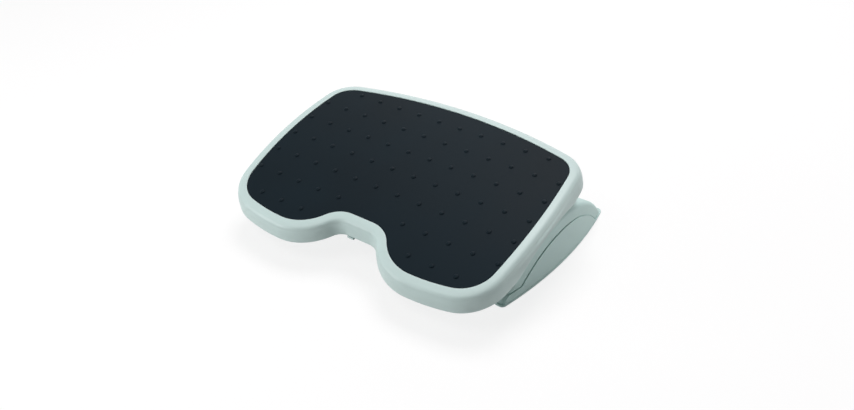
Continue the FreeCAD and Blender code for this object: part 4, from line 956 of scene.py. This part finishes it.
inner_plastic = moulded_plastic("inner_plastic", (0.045, 0.052, 0.058), roughness=0.45)
for side, hand in SIDES:
    place = side * RUNNER_PLACE
    runner = new_piece(hand + "_runner_rail", across(under_deck(*RUNNER_ENDS, RUNNER_FOOT, 0.0, 40), place,
                                                     RUNNER_HALF))
    for (near, near_half), (far, far_half) in zip(RUNNER_RIBS, RUNNER_RIBS[1:]):
        pocket = under_deck((math.radians(near), near_half), (math.radians(far), -far_half),
                            RUNNER_FOOT + FOOT_THICK, HEAD_THICK, 6)
        pocket = rounded(pocket, {0: 0.0015, 6: 0.0015, 7: 0.0015, 13: 0.0015}, 4)
        for inner, outer in ((RUNNER_WEB, RUNNER_HALF + 0.001), (-RUNNER_HALF - 0.001, -RUNNER_WEB)):
            carve(runner, prism(pocket, place + inner, place + outer, axis=0))
    bars = [rod((place, *off_axis(turn, ARCH_RADIUS)), (place, *off_axis(turn, ARCH_RADIUS + 0.022)),
                BOLT_SHANK + 0.00005) for turn in BOLT_ANGLES]
    bars += [rod((x, y, z - 0.009), (x, y, z + 0.01), 0.0018) for x, y, z in runner_screw_seats(place)]
    carve(runner, turned_bars(*bars))
    broken_edges(runner, 0.0003)
    settle(runner, inner_plastic, "platform", "inner_plastic", hand + "_runner")


# Runner screws: eight zinc-plated cross-recess screws, sunk in the deck under the mat, that draw
# the runners up against the deck.
LONG_SCREW = {**SCREW, "Shank length": 0.008}
grown_field("runner_screw_set", seats, [AS_BUILT], screw, LONG_SCREW, "platform", "screw_steel", "runner_screws")


# Guide bolts and bushes: four shoulder bolts with hexagon sockets come up through the hood's slots
# into the runners. A white bush under each head runs along the inside of the hood and holds the
# platform down on its arch.
BUSH_LOW = ARCH_RADIUS - HOOD_WALL - RUNNING_GAP - 0.005
BOLT = {"Head radius": 0.0064, "Head height": 0.0035, "Chamfer": 0.0005, "Shank radius": BOLT_SHANK,
        "Shank length": ARCH_RADIUS + 0.020 - BUSH_LOW, "Socket radius": 0.0029, "Socket depth": 0.0022}
BUSH = {"Outer radius": 0.008, "Bore radius": BOLT_SHANK + 0.00005, "Height": 0.005, "Chamfer": 0.0004}


def turned(tree, profile, sides):
    """A turned solid from its side view: from the foot outwards, up, and back in at the top."""
    shapes = [moved(tree, node(tree, "GeometryNodeMeshCone", {"fill_type": "NONE"}, Vertices=sides, Radius_Top=far,
                               Radius_Bottom=near, Depth=high - low), low)
              for (near, low), (far, high) in zip(profile, profile[1:])]
    foot, top = [node(tree, "GeometryNodeMeshCircle", {"fill_type": "NGON"}, Vertices=sides, Radius=radius)
                 for radius, _ in (profile[0], profile[-1])]
    shapes += [moved(tree, top, profile[-1][1]), moved(tree, node(tree, "GeometryNodeFlipFaces", Mesh=foot),
                                                       profile[0][1])]
    whole = node(tree, "GeometryNodeJoinGeometry", Geometry=shapes[::-1])
    return node(tree, "GeometryNodeMergeByDistance", Geometry=whole, Distance=1e-6)


def shoulder_bolt(tree, size):
    """A shoulder bolt: its seat is at the point, its socket head below and its shank above."""
    foot, edge = size["Head height"] * -1.0, size["Chamfer"]
    head, shank, length, depth = [size[label] for label in ("Head radius", "Shank radius", "Shank length",
                                                            "Socket depth")]
    body = turned(tree, [(head - edge, foot), (head, foot + edge), (head, 0.0), (shank, 0.0),
                         (shank, length - edge), (shank - edge, length)], 32)
    socket = round_bar(tree, size["Socket radius"], depth * 2.0, 6, foot - depth)
    return node(tree, "GeometryNodeMeshBoolean", LESS, Mesh_1=body, Mesh_2=socket)


def plain_bush(tree, size):
    """A plain bush with chamfered rims that stands on the point."""
    radius, height, edge = size["Outer radius"], size["Height"], size["Chamfer"]
    outside = turned(tree, [(radius - edge, 0.0), (radius, edge), (radius, height - edge), (radius - edge, height)], 40)
    bore = round_bar(tree, size["Bore radius"], height * 2.0, 32, height * -0.5)
    return node(tree, "GeometryNodeMeshBoolean", LESS, Mesh_1=outside, Mesh_2=bore)


guides = [(side * RUNNER_PLACE, *off_axis(turn, BUSH_LOW)) for side, _ in SIDES for turn in BOLT_ANGLES]
leans = [(-turn, 0.0, 0.0) for turn in BOLT_ANGLES]
grown_field("guide_bolt_set", guides, leans, copies_tree("shoulder_bolt", shoulder_bolt, zinc, BOLT), BOLT,
            "platform", "screw_steel", "guide_bolts")
grown_field("guide_bush_set", guides, leans, copies_tree("plain_bush", plain_bush, slide_plastic, BUSH), BUSH,
            "platform", "slide_plastic", "guide_bushes")


# Lever bracket: a moulded fork screwed under the deck. Its plate follows the deck's curve, and two
# ears carry the lever's pin.
LINING_THICK = 0.0015
SHOE_ANGLE = math.radians(-10.0)
SHOE_SPAN = math.radians(7.5)
SHOE_HALF = 0.007
SHOE_THICK = 0.009
PLATE_THICK = 0.0016
SHOE_RADIUS = ARCH_RADIUS + TRACK_THICK + RUNNING_GAP + LINING_THICK
PIN_RADIUS = 0.0025
PIN_Y, PIN_Z = off_axis(SHOE_ANGLE, SHOE_RADIUS, -0.050)
PIN_Z += 0.004
EAR_HALF = SHOE_HALF + PLATE_THICK + 0.001
EAR_THICK = 0.003
PIN_HALF = EAR_HALF + EAR_THICK


def cross_bar(y, z, radius):
    """A bar through the lever from side to side."""
    return rod((LEVER_PLACE - 0.03, y, z), (LEVER_PLACE + 0.03, y, z), radius)


plate = evenly(PIN_Y - 0.034, PIN_Y + 0.034, 16)
plate = [(y, deck_line(y, 0.0035)) for y in plate] + [(y, deck_line(y)) for y in plate[::-1]]
bracket = new_piece("bracket_fork", across(plate, LEVER_PLACE, PIN_HALF))
ear = [(-0.022, deck_line(PIN_Y - 0.022, 0.0015) - PIN_Z), (-0.022, 0.200 - PIN_Z), (-0.0066, -0.0022),
       (-0.003, -0.006), (0.003, -0.006), (0.0066, -0.0022), (0.022, 0.200 - PIN_Z),
       (0.022, deck_line(PIN_Y + 0.022, 0.0015) - PIN_Z)]
ear = rounded([(PIN_Y + y, PIN_Z + z) for y, z in ear], {1: 0.006, 2: 0.003, 3: 0.0025, 4: 0.0025, 5: 0.003, 6: 0.006})
for inner in (LEVER_PLACE - PIN_HALF, LEVER_PLACE + EAR_HALF):
    carve(bracket, prism(ear, inner, inner + EAR_THICK, axis=0), operation="UNION")
bracket_screws = [(LEVER_PLACE + x, PIN_Y + y, deck_line(PIN_Y + y, 0.0039)) for x in (-0.008, 0.008)
                  for y in (-0.028, 0.028)]
bars = [rod((x, y, z - 0.004), (x, y, z + 0.008), 0.0018) for x, y, z in bracket_screws]
carve(bracket, turned_bars(*bars, cross_bar(PIN_Y, PIN_Z, PIN_RADIUS + 0.00005), sides=28))
broken_edges(bracket, 0.0003)
settle(bracket, inner_plastic, "platform", "inner_plastic", "lever_bracket")


# Bracket screws: four short screws, of the same kind as the others, up through the bracket's plate
# into the deck.
SHORT_SCREW = {**SCREW, "Shank length": 0.0034}
grown_field("bracket_screw_set", bracket_screws, [UPSIDE_DOWN], screw, SHORT_SCREW, "platform", "screw_steel",
            "bracket_screws")


# Pivot pin and clip: a turned steel pin with a flat head, put through the ears and the lever from
# one side. A sprung E-ring in the groove at its other end keeps it there.
PIN_SIDE = ((0.0031, -0.0015), (0.0037, -0.0012), (0.0037, -0.0001), (0.0025, -0.0001))
PIN_END = ((0.0025, 0.0004), (0.0019, 0.0004), (0.0019, 0.0013), (0.0025, 0.0013), (0.0025, 0.0024), (0.0020, 0.0029))
CLIP_OUTER = 0.0047
CLIP_INNER = 0.00195
CLIP_THICK = 0.0008
CLIP_STEPS = 48
AT_PIN = Matrix.Translation((LEVER_PLACE, PIN_Y, PIN_Z))
turned_steel = plated_steel("turned_steel", (0.70, 0.70, 0.71), roughness=0.22)
pin = [((x + end, 0.0, 0.0), radius) for end, part in ((-PIN_HALF, PIN_SIDE), (PIN_HALF, PIN_END))
       for radius, x in part]
settle(new_piece("hinge_pin", turned_bars(pin, sides=32), AT_PIN), turned_steel, "platform", "pin_steel", "pivot_pin")
ring = arc(0.0, 0.0, CLIP_OUTER, math.radians(-73.9), math.radians(253.9), CLIP_STEPS)
for count, turn in enumerate(evenly(math.radians(-131.8), math.radians(-408.2), CLIP_STEPS)):
    lobe = max(math.cos(3 * (turn + math.pi / 2)), 0.0)
    radius = CLIP_INNER + 0.0011 * lobe**0.7 * min(1.0, min(count, CLIP_STEPS - count) / 6)
    ring.append((radius * math.cos(turn), radius * math.sin(turn)))
clip = new_piece("e_ring", prism(ring, PIN_HALF + 0.00045, PIN_HALF + 0.00045 + CLIP_THICK, axis=0), AT_PIN)
broken_edges(clip, 0.00012, 1)
settle(clip, turned_steel, "platform", "pin_steel", "pin_clip")


# Release lever: an arm of pressed steel, painted black. Its rear end is a channel that straddles
# the brake shoe, its middle turns on the pin, and its narrow tongue reaches forward to the toe.
TAB_Y, TAB_Z = -0.141, 0.1855
TAB_HALF = 0.005
ARM_HALF = SHOE_HALF + PLATE_THICK
shoe_turns = evenly(SHOE_ANGLE - SHOE_SPAN, SHOE_ANGLE + SHOE_SPAN, 8)
side_view = [off_axis(turn, SHOE_RADIUS + 0.0025) for turn in shoe_turns[::-1]]
side_view += [(PIN_Y, PIN_Z - 0.006), (PIN_Y - 0.012, PIN_Z - 0.0045), (TAB_Y + 0.014, TAB_Z - 0.0025),
              (TAB_Y, TAB_Z - 0.0015), (TAB_Y, TAB_Z + 0.0015), (TAB_Y + 0.014, TAB_Z + 0.0015),
              (PIN_Y - 0.008, PIN_Z + 0.0055), (PIN_Y, PIN_Z + 0.0065), (PIN_Y + 0.009, PIN_Z + 0.006)]
side_view += [off_axis(turn, SHOE_RADIUS + 0.011) for turn in shoe_turns]
side_view = rounded(side_view, {0: 0.0015, 9: 0.006, 10: 0.010, 11: 0.010, 14: 0.008, 15: 0.006, 16: 0.004,
                                17: 0.006, 26: 0.0015})
arm = new_piece("pressed_arm", across(side_view, LEVER_PLACE, ARM_HALF))
carve(arm, prism(oblong(LEVER_PLACE - SHOE_HALF, PIN_Y - 0.009, LEVER_PLACE + SHOE_HALF, 0.1), 0.1, 0.25))
for side, _ in SIDES:
    trim = [(TAB_HALF, -0.3), (TAB_HALF, PIN_Y - 0.027), (ARM_HALF + 0.001, PIN_Y - 0.022), (ARM_HALF + 0.001, -0.3)]
    trim = rounded([(LEVER_PLACE + side * x, y) for x, y in trim], {1: 0.004})
    carve(arm, prism(trim, 0.1, 0.25))
rivet_places = [off_axis(SHOE_ANGLE + math.radians(turn), SHOE_RADIUS + 0.006) for turn in (-4.0, 4.0)]
rivet_holes = [cross_bar(y, z, 0.0016) for y, z in rivet_places]
carve(arm, turned_bars(cross_bar(PIN_Y, PIN_Z, PIN_RADIUS + 0.00005), *rivet_holes, sides=28))
broken_edges(arm, 0.00035)
lever_paint = moulded_plastic("lever_steel", (0.020, 0.021, 0.022), roughness=0.35, grain=0.0001, grain_scale=700.0)
settle(arm, lever_paint, "release_lever", "lever_steel", "lever_arm")


# Brake shoe, lining and rivets: a moulded block held in the lever's channel by two aluminium
# rivets, with a pad of dark friction rubber bonded to its curved foot.
RIVET = {"Shank radius": 0.00155, "Head radius": 0.0028, "Head height": 0.0012, "Grip": 2 * ARM_HALF}
SHOE_SHORTER = math.radians(0.5)
UP_TO_AXIS = Matrix.Translation((0.0, 0.0, ARC_DROP))
ends = (SHOE_ANGLE - SHOE_SPAN + SHOE_SHORTER, SHOE_ANGLE + SHOE_SPAN - SHOE_SHORTER)
shoe = new_piece("shoe_block", arc_strip(LEVER_PLACE, SHOE_HALF - 0.00005, SHOE_RADIUS, SHOE_RADIUS + SHOE_THICK,
                                         *ends, 0.0005, 16), UP_TO_AXIS)
carve(shoe, turned_bars(*rivet_holes, sides=28))
settle(shoe, inner_plastic, "release_lever", "inner_plastic", "brake_shoe")
ends = (SHOE_ANGLE - SHOE_SPAN, SHOE_ANGLE + SHOE_SPAN)
lining = new_piece("friction_pad", arc_strip(LEVER_PLACE, 0.011, SHOE_RADIUS - LINING_THICK, SHOE_RADIUS, *ends,
                                             0.0003, 24), UP_TO_AXIS)
settle(lining, brake_rubber, "release_lever", "brake_rubber", "brake_lining")


def set_rivet(tree, size):
    """A rivet set at both ends, with its middle at the point."""
    half, head, shank = size["Grip"] * 0.5, size["Head radius"], size["Shank radius"]
    down, rim, crown = half * -1.0, size["Head height"] * 0.45, head * 0.55
    return turned(tree, [(crown, down - size["Head height"]), (head, down - rim), (head, down), (shank, down),
                         (shank, half), (head, half), (head, half + rim), (crown, half + size["Head height"])], 24)


aluminium = plated_steel("aluminium", (0.75, 0.75, 0.76), roughness=0.35)
grown_field("shoe_rivet_set", [(LEVER_PLACE, y, z) for y, z in rivet_places], [(0.0, math.pi / 2, 0.0)],
            copies_tree("set_rivet", set_rivet, aluminium, RIVET), RIVET, "release_lever", "rivet_aluminium",
            "shoe_rivets")


# Lever spring: a hairpin of flat spring steel between the deck and the top of the shoe, which
# keeps the brake on until the toe lifts it.
LEAF_THICK = 0.0008
LEAF_HALF = 0.005
LEAF_TOP = DECK_LOW - 0.0002
LEAF_LOW = 0.1837
LEAF_FRONT, LEAF_REAR = -0.029, -0.012
BEND = (LEAF_TOP - LEAF_LOW) / 2
leaf = arc(LEAF_FRONT, LEAF_TOP - BEND, BEND, -math.pi / 2, -math.pi * 1.5, 28)
leaf += [(LEAF_REAR, LEAF_TOP), (LEAF_REAR, LEAF_TOP - LEAF_THICK)]
leaf += arc(LEAF_FRONT, LEAF_TOP - BEND, BEND - LEAF_THICK, -math.pi * 1.5, -math.pi / 2, 28)
leaf += [(LEAF_REAR, LEAF_LOW + LEAF_THICK), (LEAF_REAR, LEAF_LOW)]
strip_steel = plated_steel("strip_steel", (0.32, 0.33, 0.36), roughness=0.3)
spring = new_piece("hairpin_leaf", across(leaf, LEVER_PLACE, LEAF_HALF))
broken_edges(spring, 0.0002, 1)
settle(spring, strip_steel, "platform", "spring_steel", "lever_spring")
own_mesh(spring)


# Toe tab and tip: a light grey moulding pressed over the end of the lever's tongue, the catch that
# shows under the rim at the middle of the notch. A small button of black rubber under it gives
# the toe its grip.
TAB_SIDE = ((-0.0025, -0.0015), (-0.001, -0.0032), (0.008, -0.0032), (0.008, -0.0022), (-0.0001, -0.0016),
            (-0.0001, 0.0017), (-0.0025, 0.0017))
BUTTON = ((-0.0032, 0.0022, 0.0), (-0.0041, 0.0019, 0.0004), (-0.0045, 0.0015, 0.0009), (-0.0046, 0.0010, 0.0014))
tab_side = rounded([(TAB_Y + y, TAB_Z + z) for y, z in TAB_SIDE], {0: 0.0012, 1: 0.0012}, 4)
tab = new_piece("toe_catch", across(tab_side, LEVER_PLACE, TAB_HALF))
broken_edges(tab, 0.0004, 3)
tab_plastic = moulded_plastic("tab_plastic", (0.50, 0.64, 0.62), roughness=0.4)
settle(tab, tab_plastic, "release_lever", "tab_plastic", "toe_tab")
levels = []
for low, half, spare in BUTTON:
    outline = oblong(LEVER_PLACE - half, TAB_Y - 0.0005 + spare, LEVER_PLACE + half, TAB_Y + 0.007 - spare)
    levels.append((TAB_Z + low, rounded(outline, dict.fromkeys(range(4), half * 0.8), 4)))
settle(new_piece("toe_button", stack(levels)), foot_rubber, "release_lever", "foot_rubber", "toe_tip")


# Studio: a wide pale floor that shows white behind the object and keeps its soft shadow, and five
# soft lamps round the object.
FLOOR_HALF = 6.0
SOFT_BOXES = (
    ("top_softbox", (-0.2, 0.7, 2.1), 0.1, 1.2, 1.0, 32.0, (1.0, 0.965, 0.980)),
    ("left_softbox", (-1.4, -1.8, 0.5), 0.08, 1.2, 0.7, 23.0, (1.0, 1.0, 1.0)),
    ("front_softbox", (-0.3, -1.3, 2.0), 0.1, 1.2, 1.0, 13.0, (1.0, 1.0, 1.0)),
    ("right_softbox", (1.9, 1.1, 0.28), 0.06, 1.2, 0.5, 9.0, (1.0, 1.0, 1.0)),
    ("rear_softbox", (-0.4, 2.0, 0.9), 0.1, 2.4, 0.9, 9.0, (1.0, 0.95, 0.985)),
)
floor_mesh = bmesh.new()
bmesh.ops.create_grid(floor_mesh, x_segments=8, y_segments=8, size=FLOOR_HALF)
floor = new_piece("floor", floor_mesh)
floor_material = bpy.data.materials.new("pale_floor")
floor_material.use_nodes = True


def seen_share(tree):
    """1 for what the camera sees itself, in a gloss or through glass, and 0 for lighting."""
    share = node(tree, "ShaderNodeLightPath", out="Is Camera Ray")
    for ray in ("Is Glossy Ray", "Is Transmission Ray"):
        other = node(tree, "ShaderNodeLightPath", out=ray)
        share = Size(share).sum("MAXIMUM", share, other).socket
    return share


tree = floor_material.node_tree
tree.nodes.remove(tree.nodes["Principled BSDF"])
paper, shaded = [node(tree, "ShaderNodeBsdfDiffuse", Color=(tone, tone, tone, 1.0)) for tone in (0.70, 0.20)]
both = tree.nodes.new("ShaderNodeAddShader")
plug(both.inputs[0], shaded)
plug(both.inputs[1], node(tree, "ShaderNodeEmission", Strength=0.82))
choice = tree.nodes.new("ShaderNodeMixShader")
for socket, value in zip(choice.inputs, (seen_share(tree), paper, both.outputs[0])):
    plug(socket, value)
plug(tree.nodes["Material Output"].inputs["Surface"], choice.outputs[0])
floor.data.materials.append(floor_material)

world = bpy.data.worlds.new("studio")
bpy.context.scene.world = world
world.use_nodes = True
backdrop = world.node_tree.nodes["Background"].inputs
backdrop["Color"].default_value = (1.0, 1.0, 1.0, 1.0)
plug(backdrop["Strength"], node(world.node_tree, "ShaderNodeMapRange", Value=seen_share(world.node_tree), To_Min=0.06,
                                To_Max=1.0))
for name, place, aim, width, height, power, tint in SOFT_BOXES:
    lamp = bpy.data.lights.new(name, "AREA")
    lamp.color, lamp.shape = tint, "RECTANGLE"
    lamp.size, lamp.size_y, lamp.energy = width, height, power
    aimed(name, lamp, place, Vector((0.0, 0.0, aim)) - Vector(place))
bpy.context.scene.view_settings.view_transform = "Standard"
